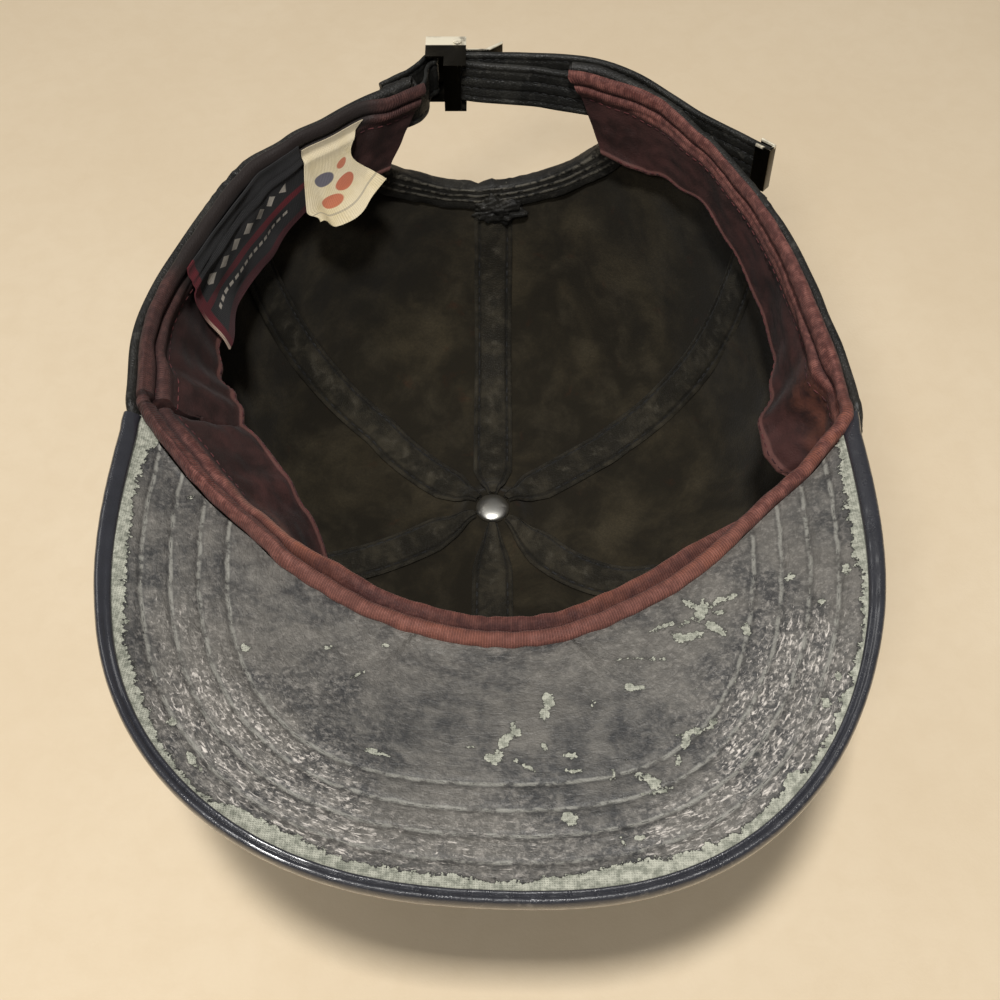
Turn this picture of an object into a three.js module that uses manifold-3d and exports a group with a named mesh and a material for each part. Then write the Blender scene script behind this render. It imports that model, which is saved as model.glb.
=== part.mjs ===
// A leather baseball cap that lies upside down on its crown, in millimetres, +Z up.
// The origin is the middle of the covered button, on the surface that the cap lies on.
// The brim points to -Y, the adjusting strap is at +Y, and left and right are as seen
// from the brim's side.

import * as THREE from 'three';
import { mergeVertices } from 'three/addons/utils/BufferGeometryUtils.js';
import Module from 'manifold-3d';

const wasm = await Module();
wasm.setup();

// Clearances between pieces that touch, on flat and on curved faces
const GAP = 0.3;
const SKIN_GAP = 0.55;

// The crown's outside face, a row for each level: height, half of the width, the middle's place
// along Y, the reach from it to the front and back, the roundness of the front, and the wall
const CROWN_LEVELS = [
  { height: 3.8, side: 2.2, middle: 0, front: 2.2, back: 2.2, nose: 2, wall: 1.4 },
  { height: 3.8, side: 7.2, middle: 0, front: 7.2, back: 7.2, nose: 2, wall: 1.4 },
  { height: 1.4, side: 11, middle: 0, front: 11, back: 11, nose: 2, wall: 1.4 },
  { height: 0, side: 15, middle: 0, front: 15, back: 15, nose: 2, wall: 1.4 },
  { height: 0, side: 30, middle: -3, front: 33, back: 31, nose: 2, wall: 1.4 },
  { height: 0, side: 46, middle: -6, front: 52, back: 49, nose: 2, wall: 1.4 },
  { height: 2.2, side: 56, middle: -9, front: 60, back: 62, nose: 2, wall: 1.4 },
  { height: 8, side: 67, middle: -13, front: 66, back: 76, nose: 2, wall: 1.4 },
  { height: 18, side: 77, middle: -18, front: 70, back: 90, nose: 2, wall: 1.4 },
  { height: 31, side: 84.5, middle: -23, front: 72, back: 101.5, nose: 1.98, wall: 1.4 },
  { height: 47, side: 89.5, middle: -28, front: 72, back: 110.5, nose: 1.93, wall: 1.4 },
  { height: 64, side: 92, middle: -32, front: 71.5, back: 116.5, nose: 1.83, wall: 1.4 },
  { height: 82, side: 93, middle: -35, front: 71, back: 120.5, nose: 1.7, wall: 1.4 },
  { height: 97, side: 93.3, middle: -38, front: 69, back: 124, nose: 1.6, wall: 1.5 },
  { height: 102, side: 93.2, middle: -38, front: 69, back: 123.8, nose: 1.6, wall: 2.6 },
  { height: 106, side: 93, middle: -38, front: 69, back: 123.6, nose: 1.6, wall: 2.6 },
  { height: 107, side: 92.2, middle: -38, front: 68.2, back: 122.8, nose: 1.6, wall: 1.2 },
];
const RIM_LEVEL = CROWN_LEVELS.length - 1;
const RIM_NOMINAL = CROWN_LEVELS[RIM_LEVEL].height;
const HEM_WALL = 2.6;

// The rim's plane rises to the back, and its front follows the brim's arch
const RIM_BACK = { y: 87, height: 116, slope: 0.0885 };
const RIM_FRONT_START = -20;
const RIM_FRONT_FULL = -48;

// How far the worn rim stands out of its even curve, round the plan, and the levels over which
// that fades in
const RIM_LIE = [
  { angle: 0, out: 0.5 },
  { angle: 14, out: -1.8 },
  { angle: 38, out: -1 },
  { angle: 48, out: 0.4 },
  { angle: 58, out: 3.2 },
  { angle: 70, out: 4.6 },
  { angle: 78, out: 2.8 },
  { angle: 103, out: -2.6 },
  { angle: 113, out: -4.4 },
  { angle: 123, out: -4.6 },
  { angle: 131, out: -2.4 },
  { angle: 140, out: 0.8 },
  { angle: 152, out: 0.3 },
  { angle: 168, out: 2.1 },
  { angle: 183, out: -0.6 },
  { angle: 205, out: -4 },
  { angle: 222, out: -4.2 },
  { angle: 232, out: -2 },
  { angle: 250, out: -0.4 },
  { angle: 270, out: 0 },
  { angle: 286, out: 1.8 },
  { angle: 300, out: 0.9 },
  { angle: 325, out: -2.3 },
  { angle: 337, out: -0.3 },
  { angle: 349, out: 2.2 },
  { angle: 360, out: 0.5 },
];
const RIM_LIE_LEVELS = { from: 8, to: 13 };

// The brim, arched across its width, rising gently away from the crown and a little twisted
const BRIM_WALL = 3;
const BRIM_HALF_WIDTH = 90.2;
const BRIM_CORNER_Y = -50;
const BRIM_TIP_Y = -168.6;
const BRIM_SQUARENESS = 2.73;
const BRIM_TIP_SHIFT = 0.7;
const BRIM_JOINT = { y: -107, height: 93.1, slope: 0.15, arch: 0.0025, twist: -0.0017 };
const BRIM_HALF_SPAN = 75;
const BRIM_EASE = { from: 6, to: 12 };
const BRIM_COLUMNS = 30;
const BRIM_ROWS = 5;

// The smooth hem wrapped over the brim's edge: its cover on the upper face at the side and at the tip
const HEM_SIDE_COVER = 3.6;
const HEM_TIP_COVER = 1.9;
const HEM_SHEET = 1;
const HEM_ROUND = 0.9;
const HEM_EDGE = 0.6;
const HEM_END = 0.01;
const HEM_SLOPE_STEP = 0.01;

// The seams between the six panels, as plan angles near the button, where the crown lies flat
// and at the rim
const SEAMS = {
  back: { hub: 90, flat: 90, rim: 90 },
  back_left: { hub: 138, flat: 134.5, rim: 143 },
  front_left: { hub: 199, flat: 193.5, rim: 200.5 },
  front: { hub: 270, flat: 270, rim: 270 },
  front_right: { hub: 322, flat: 342, rim: 338.5 },
  back_right: { hub: 42, flat: 40.5, rim: 33.2 },
};
const SEAM_HUB_LEVEL = 3;
const SEAM_FLAT_LEVEL = 6;
const SEAM_RIM_LEVEL = 13;
const PANELS = [
  { name: 'panel_back_right', from: 'back_right', to: 'back', columns: 8 },
  { name: 'panel_back_left', from: 'back', to: 'back_left', columns: 8 },
  { name: 'panel_side_left', from: 'back_left', to: 'front_left', columns: 9 },
  { name: 'panel_front_left', from: 'front_left', to: 'front', columns: 9 },
  { name: 'panel_front_right', from: 'front', to: 'front_right', columns: 9 },
  { name: 'panel_side_right', from: 'front_right', to: 'back_right', columns: 8 },
];

// The tape over each seam inside the crown: its half section, and the levels that it spans
const TAPE_HALF_WIDTH = 6.5;
const TAPE_SECTION = [
  { across: -1, thick: 0.6 },
  { across: -0.7, thick: 1.2 },
  { across: 0, thick: 1.4 },
  { across: 0.7, thick: 1.2 },
  { across: 1, thick: 0.6 },
];
const TAPE_CROWD_ANGLE = 21;
const TAPE_START_LEVEL = 0.78;
const TAPE_END_LEVEL = 13;
const TAPE_END_BACK_LEVEL = 10.6;

// The arch cut out of the back, half of its outline from the bottom to the rim
const ARCH_OUTLINE = [
  { x: 0, z: 69 },
  { x: 12, z: 71.2 },
  { x: 23.5, z: 77.7 },
  { x: 32, z: 85.5 },
  { x: 36, z: 92 },
  { x: 33.5, z: 98.5 },
  { x: 27.5, z: 105 },
  { x: 23.4, z: 112 },
  { x: 22.6, z: 118 },
];
const ARCH_STEPS = 34;
const ARCH_CUT_TOP = 140;
const ARCH_CUT_BACK = 120;
const ARCH_CUT_DEPTH = 70;
const ARCH_TAPE_LEG = 8.5;
const ARCH_TAPE_WALL = 1;
const ARCH_TAPE_EDGE = 0.6;
const ARCH_HEM_LEVELS = { from: 11.8, to: 12.8 };
const ARCH_TAPE_TOP = 114;
const BACK_WALL = { from: 45, to: 135 };
const BISECTIONS = 22;

// The sweatband's section from its rolled top to its lower edge: length along it and
// how far its face stands proud, and then back along its outer face
const BAND_SECTION = [
  { along: -1.4, proud: 0 },
  { along: -1.8, proud: 1.6 },
  { along: 0.4, proud: 3.3 },
  { along: 2.6, proud: 3 },
  { along: 3.6, proud: 1.9 },
  { along: 4.8, proud: 3.1 },
  { along: 7, proud: 2.9 },
  { along: 8.8, proud: 1.3 },
  { along: 20, proud: 1.3 },
  { along: 32.6, proud: 1.5 },
  { along: 33, proud: 0 },
  { along: 20, proud: 0 },
  { along: 8.8, proud: 0 },
];
const BAND_LENGTH = 33;
const BAND_STAND_OFF = 2.4;
const BAND_ROLL_END = { from: 5, to: 9 };
const BAND_STEP = 5.6;
const BAND_END_SKEW = 9;
const BAND_END_EASE = 22;

// The sweatband's lie, a row for each change: how far its lower edge leans into the crown,
// how far its middle is pressed back, the gap behind its roll, and its share of the full width
const BAND_LIE = [
  { angle: 104.5, lean: 4.4, pressed: 0, behind: 4, width: 0.75 },
  { angle: 111, lean: 4.2, pressed: 0, behind: 4, width: 0.75 },
  { angle: 118, lean: 3, pressed: 0, behind: 0.5, width: 0.75 },
  { angle: 130, lean: 2.6, pressed: 0, behind: 0.5, width: 0.75 },
  { angle: 141, lean: 2.4, pressed: 0, behind: 0.5, width: 1 },
  { angle: 150, lean: 3, pressed: 0.5, behind: 0.5, width: 1 },
  { angle: 158.5, lean: 6, pressed: 0.8, behind: 0.5, width: 1 },
  { angle: 165, lean: 12, pressed: 1, behind: 0.5, width: 1 },
  { angle: 172, lean: 20, pressed: 1, behind: 0.5, width: 1 },
  { angle: 176, lean: 23, pressed: -2, behind: 0.5, width: 1 },
  { angle: 181, lean: 23, pressed: -2, behind: 0.5, width: 1 },
  { angle: 184, lean: 10, pressed: 3, behind: 0.5, width: 1 },
  { angle: 186, lean: 10, pressed: 3, behind: 0.5, width: 1 },
  { angle: 188.5, lean: 24.5, pressed: -1, behind: 0.5, width: 1 },
  { angle: 200, lean: 26, pressed: -1.5, behind: 0.5, width: 1 },
  { angle: 211, lean: 26, pressed: -1, behind: 0.5, width: 1 },
  { angle: 220, lean: 24, pressed: 0, behind: 0.5, width: 1 },
  { angle: 228, lean: 18.5, pressed: 0, behind: 0.5, width: 1 },
  { angle: 236, lean: 10, pressed: 0, behind: 0.5, width: 1 },
  { angle: 246, lean: 3, pressed: 0, behind: 0.5, width: 1 },
  { angle: 288, lean: 2.6, pressed: 0, behind: 0.5, width: 1 },
  { angle: 325, lean: 2.8, pressed: 0, behind: 0.5, width: 1 },
  { angle: 343, lean: 3.4, pressed: 0, behind: 0.5, width: 1 },
  { angle: 350, lean: 8, pressed: 2, behind: 0.5, width: 1 },
  { angle: 356, lean: 13, pressed: 5, behind: 0.5, width: 1 },
  { angle: 361, lean: 16, pressed: 6, behind: 0.5, width: 1 },
  { angle: 366, lean: 15.5, pressed: -1, behind: 0.5, width: 1 },
  { angle: 372, lean: 7.5, pressed: 0, behind: 0.5, width: 1 },
  { angle: 378, lean: 2.6, pressed: 0, behind: 0.5, width: 0.97 },
  { angle: 386, lean: 2.4, pressed: 0, behind: 0.5, width: 0.82 },
  { angle: 396, lean: 2.4, pressed: 0, behind: 0.5, width: 0.66 },
  { angle: 404, lean: 2.4, pressed: 0, behind: 0.5, width: 0.55 },
  { angle: 411, lean: 2.4, pressed: 0, behind: 0.5, width: 0.64 },
  { angle: 419, lean: 2.6, pressed: 0, behind: 0.5, width: 0.77 },
  { angle: 429, lean: 4.2, pressed: 0, behind: 4, width: 0.78 },
  { angle: 435.5, lean: 4.4, pressed: 0, behind: 4, width: 0.78 },
];

// The strap in plan: from its sewn end inside the right of the crown to the buckle, round the bar
// and back along the outside to its free end, which droops a little
const STRAP_WALL = 1.6;
const STRAP_WIDTH = 14;
const STRAP_TOP = 115;
const STRAP_DROOP = 2.8;
const DROOP_SHARE = { from: 0.68, to: 0.86 };
const STRAP_INNER = [
  { x: 30, y: 78.2 },
  { x: 24.5, y: 79.5 },
  { x: 20, y: 80.5 },
  { x: 12, y: 83 },
  { x: -4, y: 84.4 },
];
const STRAP_BAR = { x: -11, y: 87.8, radius: 0.9 };
const STRAP_OUTER = [
  { x: -3, y: 89.4 },
  { x: 9, y: 89.4 },
  { x: 22, y: 88.6 },
  { x: 33, y: 86.1 },
  { x: 41, y: 81.2 },
  { x: 50, y: 73.8 },
  { x: 65, y: 61.2 },
  { x: 79.5, y: 49 },
];
const STRAP_FOLD = { from: -80, to: -275, steps: 8 };
const STRAP_TIP = { length: 5, wall: 0.8, grip: 4, top: 0.7 };

// The buckle: a frame of plates round the strap's fold, with a lever that turns on a pin
const BUCKLE = { left: -20, neck: -14.4, right: -7.8, inner: 81.4, step: 85.9, outer: 95.6, plate: 5 };
const BUCKLE_SHEET = 0.8;
const BUCKLE_ROUND = 10;
const BUCKLE_BOTTOM = 99.8;
const BUCKLE_TOP = 116.4;
const TAB_BAR = { x: -18.6, y: 88.2, radius: 0.9 };
const LEVER_PIN = { x: -10.4, y: 92.7, radius: 0.8, head: 1.3, headWall: 0.4 };
const LEVER = { barrel: 1.7, width: 13.6, wall: 0.8, low: 91, bend: -1.2, tip: 3.2, rise: 3.6, lip: 1 };

// The short leather loop that ties the buckle to the left end of the crown
const TAB_WALL = 1.2;
const TAB_WIDTH = 12.5;
const TAB_TOP = 114.3;
const TAB_INNER = [
  { x: -29, y: 69.5 },
  { x: -25.5, y: 71.4 },
  { x: -21.6, y: 73.6 },
  { x: -19.7, y: 78 },
  { x: -19.6, y: 84 },
];
const TAB_OUTER = [
  { x: -21.6, y: 86.4 },
  { x: -24.8, y: 82.4 },
  { x: -28.6, y: 79.5 },
  { x: -33, y: 75.8 },
];
const TAB_FOLD = { from: -75, to: 150, steps: 8 };

// The trims on the left of the sweatband: plan angles, and lengths along the band
const LABEL = { from: 131.5, to: 158.5, wall: 0.8, clear: 1.9, rows: [9.2, 20, 32.6] };
const TAG = {
  topFrom: 117, topTo: 130, bottomFrom: 110.5, bottomTo: 133.5, start: 4, short: 28, long: 36,
  belly: 7, waist: 7, wall: 0.8, clear: 3.8, curl: 8, columns: 6, rows: 7,
};

// The covered button outside and the rivet's disc inside, as half sections
const BUTTON_SECTION = [
  { r: 0, z: 0 },
  { r: 4.2, z: 0 },
  { r: 5.8, z: 0.7 },
  { r: 6.5, z: 1.9 },
  { r: 6.1, z: 3 },
  { r: 5, z: 3.5 },
  { r: 1.6, z: 3.5 },
  { r: 1.6, z: 2.4 },
  { r: 0, z: 2.4 },
];
const RIVET_SECTION = [
  { r: 0, z: 2.7 },
  { r: 1.3, z: 2.7 },
  { r: 1.3, z: 5.6 },
  { r: 4.9, z: 5.6 },
  { r: 5.3, z: 5.9 },
  { r: 4.6, z: 6.9 },
  { r: 2.8, z: 7.8 },
  { r: 0, z: 8.2 },
];
const ROUND_STEPS = 24;

const LEATHER = new THREE.MeshStandardMaterial({ color: 0x26292b, roughness: 0.55, metalness: 0 });
const SUEDE = new THREE.MeshStandardMaterial({ color: 0x2b2822, roughness: 0.9, metalness: 0 });
const WORN_LEATHER = new THREE.MeshStandardMaterial({ color: 0x4b4e50, roughness: 0.7, metalness: 0 });
const MAROON = new THREE.MeshStandardMaterial({ color: 0x5a2a2a, roughness: 0.7, metalness: 0 });
const NICKEL = new THREE.MeshStandardMaterial({ color: 0xc9c7c0, roughness: 0.25, metalness: 1 });
const WOVEN = new THREE.MeshStandardMaterial({ color: 0x1c1b1c, roughness: 0.85, metalness: 0 });
const CREAM = new THREE.MeshStandardMaterial({ color: 0xd8cfb8, roughness: 0.9, metalness: 0 });

const cap = new THREE.Group();

function radians(degrees) {
  return (degrees * Math.PI) / 180;
}

function mix(a, b, share) {
  return a + (b - a) * share;
}

function smoothStep(low, high, value) {
  const share = Math.min(1, Math.max(0, (value - low) / (high - low)));
  return share * share * (3 - 2 * share);
}

function signedPower(value, power) {
  return Math.sign(value) * Math.abs(value) ** power;
}

function vector(x, y, z) {
  return new THREE.Vector3(x, y, z);
}

// Adds one named piece to the cap
function addPiece(name, geometry, material) {
  const mesh = new THREE.Mesh(geometry, material);
  mesh.name = name;
  cap.add(mesh);
}

// A geometry from corner points and triples of their numbers
function geometryFrom(points, triangles) {
  const geometry = new THREE.BufferGeometry();
  const positions = points.flatMap((point) => [point.x, point.y, point.z]);
  geometry.setAttribute('position', new THREE.Float32BufferAttribute(positions, 3));
  geometry.setIndex(triangles.flat());
  return geometry;
}

// The signed volume, which tells whether the faces point out
function signedVolume(points, triangles) {
  const sixfold = ([a, b, c]) => points[a].dot(points[b].clone().cross(points[c]));
  return triangles.reduce((sum, corners) => sum + sixfold(corners), 0) / 6;
}

function closedGeometry(points, triangles) {
  const outward = signedVolume(points, triangles) > 0;
  return geometryFrom(points, outward ? triangles : triangles.map(([a, b, c]) => [a, c, b]));
}

// A wall between two grids of points, rows of columns, closed round its four edges
function wallGeometry(face, back) {
  const rows = face.length;
  const columns = face[0].length;
  const points = [...face.flat(), ...back.flat()];
  const front = (row, column) => row * columns + column;
  const rear = (row, column) => rows * columns + front(row, column);
  const triangles = [];
  const quad = (a, b, c, d) => triangles.push([a, b, c], [a, c, d]);
  for (let row = 0; row < rows - 1; row += 1) {
    for (let column = 0; column < columns - 1; column += 1) {
      quad(front(row, column), front(row, column + 1), front(row + 1, column + 1), front(row + 1, column));
      quad(rear(row, column), rear(row + 1, column), rear(row + 1, column + 1), rear(row, column + 1));
    }
    quad(front(row, 0), front(row + 1, 0), rear(row + 1, 0), rear(row, 0));
    const last = columns - 1;
    quad(front(row, last), rear(row, last), rear(row + 1, last), front(row + 1, last));
  }
  for (let column = 0; column < columns - 1; column += 1) {
    quad(front(0, column), rear(0, column), rear(0, column + 1), front(0, column + 1));
    const last = rows - 1;
    quad(front(last, column), front(last, column + 1), rear(last, column + 1), rear(last, column));
  }
  return closedGeometry(points, triangles);
}

// A closed section carried through stations, with flat ends; outline is the section in the plane,
// which fills the ends
function loftGeometry(stations, outline) {
  const count = outline.length;
  const points = stations.flat();
  const triangles = [];
  for (let station = 0; station < stations.length - 1; station += 1) {
    for (let corner = 0; corner < count; corner += 1) {
      const next = (corner + 1) % count;
      const a = station * count + corner;
      const b = station * count + next;
      triangles.push([a, b, b + count], [a, b + count, a + count]);
    }
  }
  const caps = THREE.ShapeUtils.triangulateShape(outline, []);
  const area = THREE.ShapeUtils.area(outline);
  const end = (stations.length - 1) * count;
  caps.forEach(([a, b, c]) => {
    const turn = THREE.ShapeUtils.area([outline[a], outline[b], outline[c]]) * area > 0;
    const [p, q, r] = turn ? [a, b, c] : [a, c, b];
    triangles.push([p, r, q], [end + p, end + q, end + r]);
  });
  return closedGeometry(points, triangles);
}

// A section turned round the Z axis
function roundGeometry(section, sides) {
  const profile = section.map(({ r, z }) => new THREE.Vector2(r, z));
  const geometry = new THREE.LatheGeometry(profile, sides);
  geometry.rotateX(Math.PI / 2);
  return outwardGeometry(geometry);
}

// A closed geometry with its shared corners merged and its faces turned out
function outwardGeometry(source) {
  const geometry = source.clone();
  geometry.deleteAttribute('normal');
  geometry.deleteAttribute('uv');
  const merged = mergeVertices(geometry, 1e-4);
  const place = merged.getAttribute('position');
  const points = [];
  for (let corner = 0; corner < place.count; corner += 1) {
    points.push(vector().fromBufferAttribute(place, corner));
  }
  const index = merged.getIndex().array;
  const triangles = [];
  for (let start = 0; start < index.length; start += 3) {
    const [a, b, c] = index.slice(start, start + 3);
    if (a !== b && b !== c && c !== a) {
      triangles.push([a, b, c]);
    }
  }
  return closedGeometry(points, triangles);
}

function solidFrom(source) {
  const geometry = outwardGeometry(source);
  return new wasm.Manifold(new wasm.Mesh({
    numProp: 3,
    vertProperties: new Float32Array(geometry.getAttribute('position').array),
    triVerts: new Uint32Array(geometry.getIndex().array),
  }));
}

function geometryOfSolid(solid) {
  const { numProp, vertProperties, triVerts } = solid.getMesh();
  const geometry = new THREE.BufferGeometry();
  const corners = vertProperties.length / numProp;
  const positions = new Float32Array(corners * 3);
  for (let corner = 0; corner < corners; corner += 1) {
    positions.set(vertProperties.subarray(corner * numProp, corner * numProp + 3), corner * 3);
  }
  geometry.setAttribute('position', new THREE.BufferAttribute(positions, 3));
  geometry.setIndex(Array.from(triVerts));
  return geometry;
}

function boxGeometry(low, high) {
  const geometry = new THREE.BoxGeometry(high.x - low.x, high.y - low.y, high.z - low.z);
  geometry.translate((low.x + high.x) / 2, (low.y + high.y) / 2, (low.z + high.z) / 2);
  return geometry;
}

// A round bar along Z
function barGeometry({ x, y }, radius, low, high, sides = 16) {
  const geometry = new THREE.CylinderGeometry(radius, radius, high - low, sides);
  geometry.rotateX(Math.PI / 2);
  geometry.translate(x, y, (low + high) / 2);
  return geometry;
}

// The brim's upper face over a place on the floor
function brimHeight(x, y) {
  const { height, slope, arch, twist } = BRIM_JOINT;
  const out = BRIM_JOINT.y - y;
  return height + out * slope + arch * x * x + Math.max(0, out) * twist * x;
}

function rimHeight(x, y) {
  const plane = RIM_BACK.height + (y - RIM_BACK.y) * RIM_BACK.slope;
  return mix(plane, brimHeight(x, y), smoothStep(RIM_FRONT_START, RIM_FRONT_FULL, y));
}

// How far the panels' rim is sunk to pass under the brim
function sunkRim(angle) {
  const fromFront = Math.abs(((angle % 360) + 360) % 360 - 270);
  const past = fromFront - BRIM_HALF_SPAN;
  return (BRIM_WALL + GAP) * smoothStep(BRIM_EASE.to, BRIM_EASE.from, past);
}

// A table's column between two of its rows
function eased(table, angle, column) {
  const next = Math.max(1, table.findIndex((row) => row.angle >= angle - 1e-9));
  const share = smoothStep(table[next - 1].angle, table[next].angle, angle);
  return mix(table[next - 1][column], table[next][column], share);
}

function rimLie(angle) {
  return eased(RIM_LIE, ((angle % 360) + 360) % 360, 'out');
}

// One column of the level table at a level that may lie between two rows
function levelValue(level, column) {
  const row = Math.min(RIM_LEVEL - 1, Math.max(0, Math.floor(level)));
  return mix(CROWN_LEVELS[row][column], CROWN_LEVELS[row + 1][column], level - row);
}

// The crown's outside face, by plan angle in degrees and level; the full rim is the one that isn't sunk
function crownPoint(angle, level, fullRim = false) {
  const sine = Math.sin(radians(angle));
  const power = 2 / (sine < 0 ? levelValue(level, 'nose') : 2);
  const evenX = levelValue(level, 'side') * signedPower(Math.cos(radians(angle)), power);
  const evenY = levelValue(level, sine > 0 ? 'back' : 'front') * signedPower(sine, power);
  const out = rimLie(angle) * smoothStep(RIM_LIE_LEVELS.from, RIM_LIE_LEVELS.to, level);
  const grown = 1 + out / Math.hypot(evenX, evenY);
  const x = evenX * grown;
  const y = levelValue(level, 'middle') + evenY * grown;
  const height = levelValue(level, 'height');
  const share = height / RIM_NOMINAL;
  const rim = rimHeight(x, y) - (fullRim ? 0 : sunkRim(angle));
  return vector(x, y, height + share * share * (rim - RIM_NOMINAL));
}

function crownNormal(angle, level) {
  const step = 0.25;
  const along = crownPoint(angle + step, level, true).sub(crownPoint(angle - step, level, true));
  const high = Math.min(RIM_LEVEL - 0.01, level + step);
  const low = Math.max(0.01, level - step);
  const up = crownPoint(angle, high, true).sub(crownPoint(angle, low, true));
  return along.cross(up).normalize();
}

// A point set in from the crown's outside face
function crownInset(angle, level, inset) {
  return crownPoint(angle, level).addScaledVector(crownNormal(angle, level), -inset);
}

// Where a seam is at a level
function seamAngle(name, level) {
  const { hub, flat, rim } = SEAMS[name];
  if (level < SEAM_FLAT_LEVEL) {
    return mix(hub, flat, smoothStep(SEAM_HUB_LEVEL, SEAM_FLAT_LEVEL, level));
  }
  return mix(flat, rim, Math.min(1, (level - SEAM_FLAT_LEVEL) / (SEAM_RIM_LEVEL - SEAM_FLAT_LEVEL)));
}

// The plan angle that a length takes up at a place on the crown
function angleOfLength(length, angle, level) {
  const step = 0.5;
  const chord = crownPoint(angle + step, level).distanceTo(crownPoint(angle - step, level));
  return (length * 2 * step) / chord;
}

// The arch's outline from its left end at the rim round to its right end, grown by a margin
function archCurve(margin) {
  const half = ARCH_OUTLINE.map(({ x, z }) => vector(x, 0, z));
  const left = half.slice(1).reverse().map((point) => vector(-point.x, 0, point.z));
  const curve = new THREE.CatmullRomCurve3([...left, ...half]);
  return Array.from({ length: ARCH_STEPS + 1 }, (_, step) => {
    const point = curve.getPointAt(step / ARCH_STEPS);
    const slope = curve.getTangentAt(step / ARCH_STEPS);
    return vector(point.x + slope.z * margin, 0, point.z - slope.x * margin);
  });
}

// The solid that the arch is cut with
function archCutter(margin) {
  const outline = archCurve(margin).map(({ x, z }) => new THREE.Vector2(x, z));
  const sky = ARCH_CUT_TOP;
  const right = outline[outline.length - 1].x;
  const shape = new THREE.Shape([...outline, new THREE.Vector2(right, sky), new THREE.Vector2(-right, sky)]);
  const geometry = new THREE.ExtrudeGeometry(shape, { depth: ARCH_CUT_DEPTH, bevelEnabled: false });
  geometry.rotateX(Math.PI / 2);
  geometry.translate(0, ARCH_CUT_BACK, 0);
  return solidFrom(geometry);
}

// The value between two bounds where a rising test turns from true to false
function turningPoint(low, high, below) {
  let [start, end] = [low, high];
  for (let turn = 0; turn < BISECTIONS; turn += 1) {
    const middle = (start + end) / 2;
    if (below(middle)) {
      start = middle;
    } else {
      end = middle;
    }
  }
  return start;
}

// The place on the back of the crown with this x and z
function backWallPlace(x, z) {
  const { from, to } = BACK_WALL;
  const angleAt = (level) => turningPoint(from, to, (angle) => crownPoint(angle, level).x > x);
  const isBelow = (level) => crownPoint(angleAt(level), level).z < z;
  const level = turningPoint(SEAM_FLAT_LEVEL, RIM_LEVEL, isBelow);
  return { angle: angleAt(level), level };
}

// The plan angles of a panel's columns at a level
function panelAngles({ from, to, columns }, level) {
  const start = seamAngle(from, level);
  let end = seamAngle(to, level);
  end += end < start ? 360 : 0;
  const low = start + angleOfLength(GAP / 2, start, level);
  const high = end - angleOfLength(GAP / 2, end, level);
  return Array.from({ length: columns + 1 }, (_, column) => mix(low, high, column / columns));
}

function panelGeometry(panel) {
  const face = [];
  const back = [];
  for (let level = 0; level <= RIM_LEVEL; level += 1) {
    const angles = panelAngles(panel, level);
    face.push(angles.map((angle) => crownPoint(angle, level)));
    back.push(angles.map((angle) => crownInset(angle, level, CROWN_LEVELS[level].wall)));
  }
  return wallGeometry(face, back);
}

function addPanels() {
  const arch = archCutter(ARCH_TAPE_WALL + GAP);
  PANELS.forEach((panel) => {
    const geometry = panelGeometry(panel);
    const cut = panel.name.includes('back') ? geometryOfSolid(solidFrom(geometry).subtract(arch)) : geometry;
    addPiece(panel.name, cut, LEATHER);
  });
}

// A point of a seam's padded tape, on the flat facet between the seam and the next column of its
// panel; the tapes narrow near the button, so that the six lie side by side
function tapePoint(seam, level, across, depth) {
  const before = panelAngles(PANELS.find((panel) => panel.to === seam), level);
  const after = panelAngles(PANELS.find((panel) => panel.from === seam), level);
  const middle = seamAngle(seam, level);
  const root = crownInset(middle, level, depth);
  const next = crownInset(across < 0 ? before[before.length - 2] : after[1], level, depth);
  const wall = levelValue(level, 'wall') + GAP;
  const crowded = radians(TAPE_CROWD_ANGLE) * (levelValue(level, 'side') - wall) - GAP / 2;
  const half = Math.min(TAPE_HALF_WIDTH, crowded);
  return root.clone().lerp(next, (Math.abs(across) * half) / root.distanceTo(next));
}

function tapeGeometry(seam) {
  const end = seam === 'back' ? TAPE_END_BACK_LEVEL : TAPE_END_LEVEL;
  const whole = Array.from({ length: Math.ceil(end) - 1 }, (_, step) => step + 1);
  const levels = [TAPE_START_LEVEL, ...whole, end];
  const grid = (raised) => levels.map((level) => TAPE_SECTION.map(({ across, thick }) => (
    tapePoint(seam, level, across, levelValue(level, 'wall') + GAP + (raised ? thick : 0))
  )));
  return wallGeometry(grid(true), grid(false));
}

function addSeamTapes() {
  Object.keys(SEAMS).forEach((seam) => addPiece(`seam_tape_${seam}`, tapeGeometry(seam), SUEDE));
}

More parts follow.
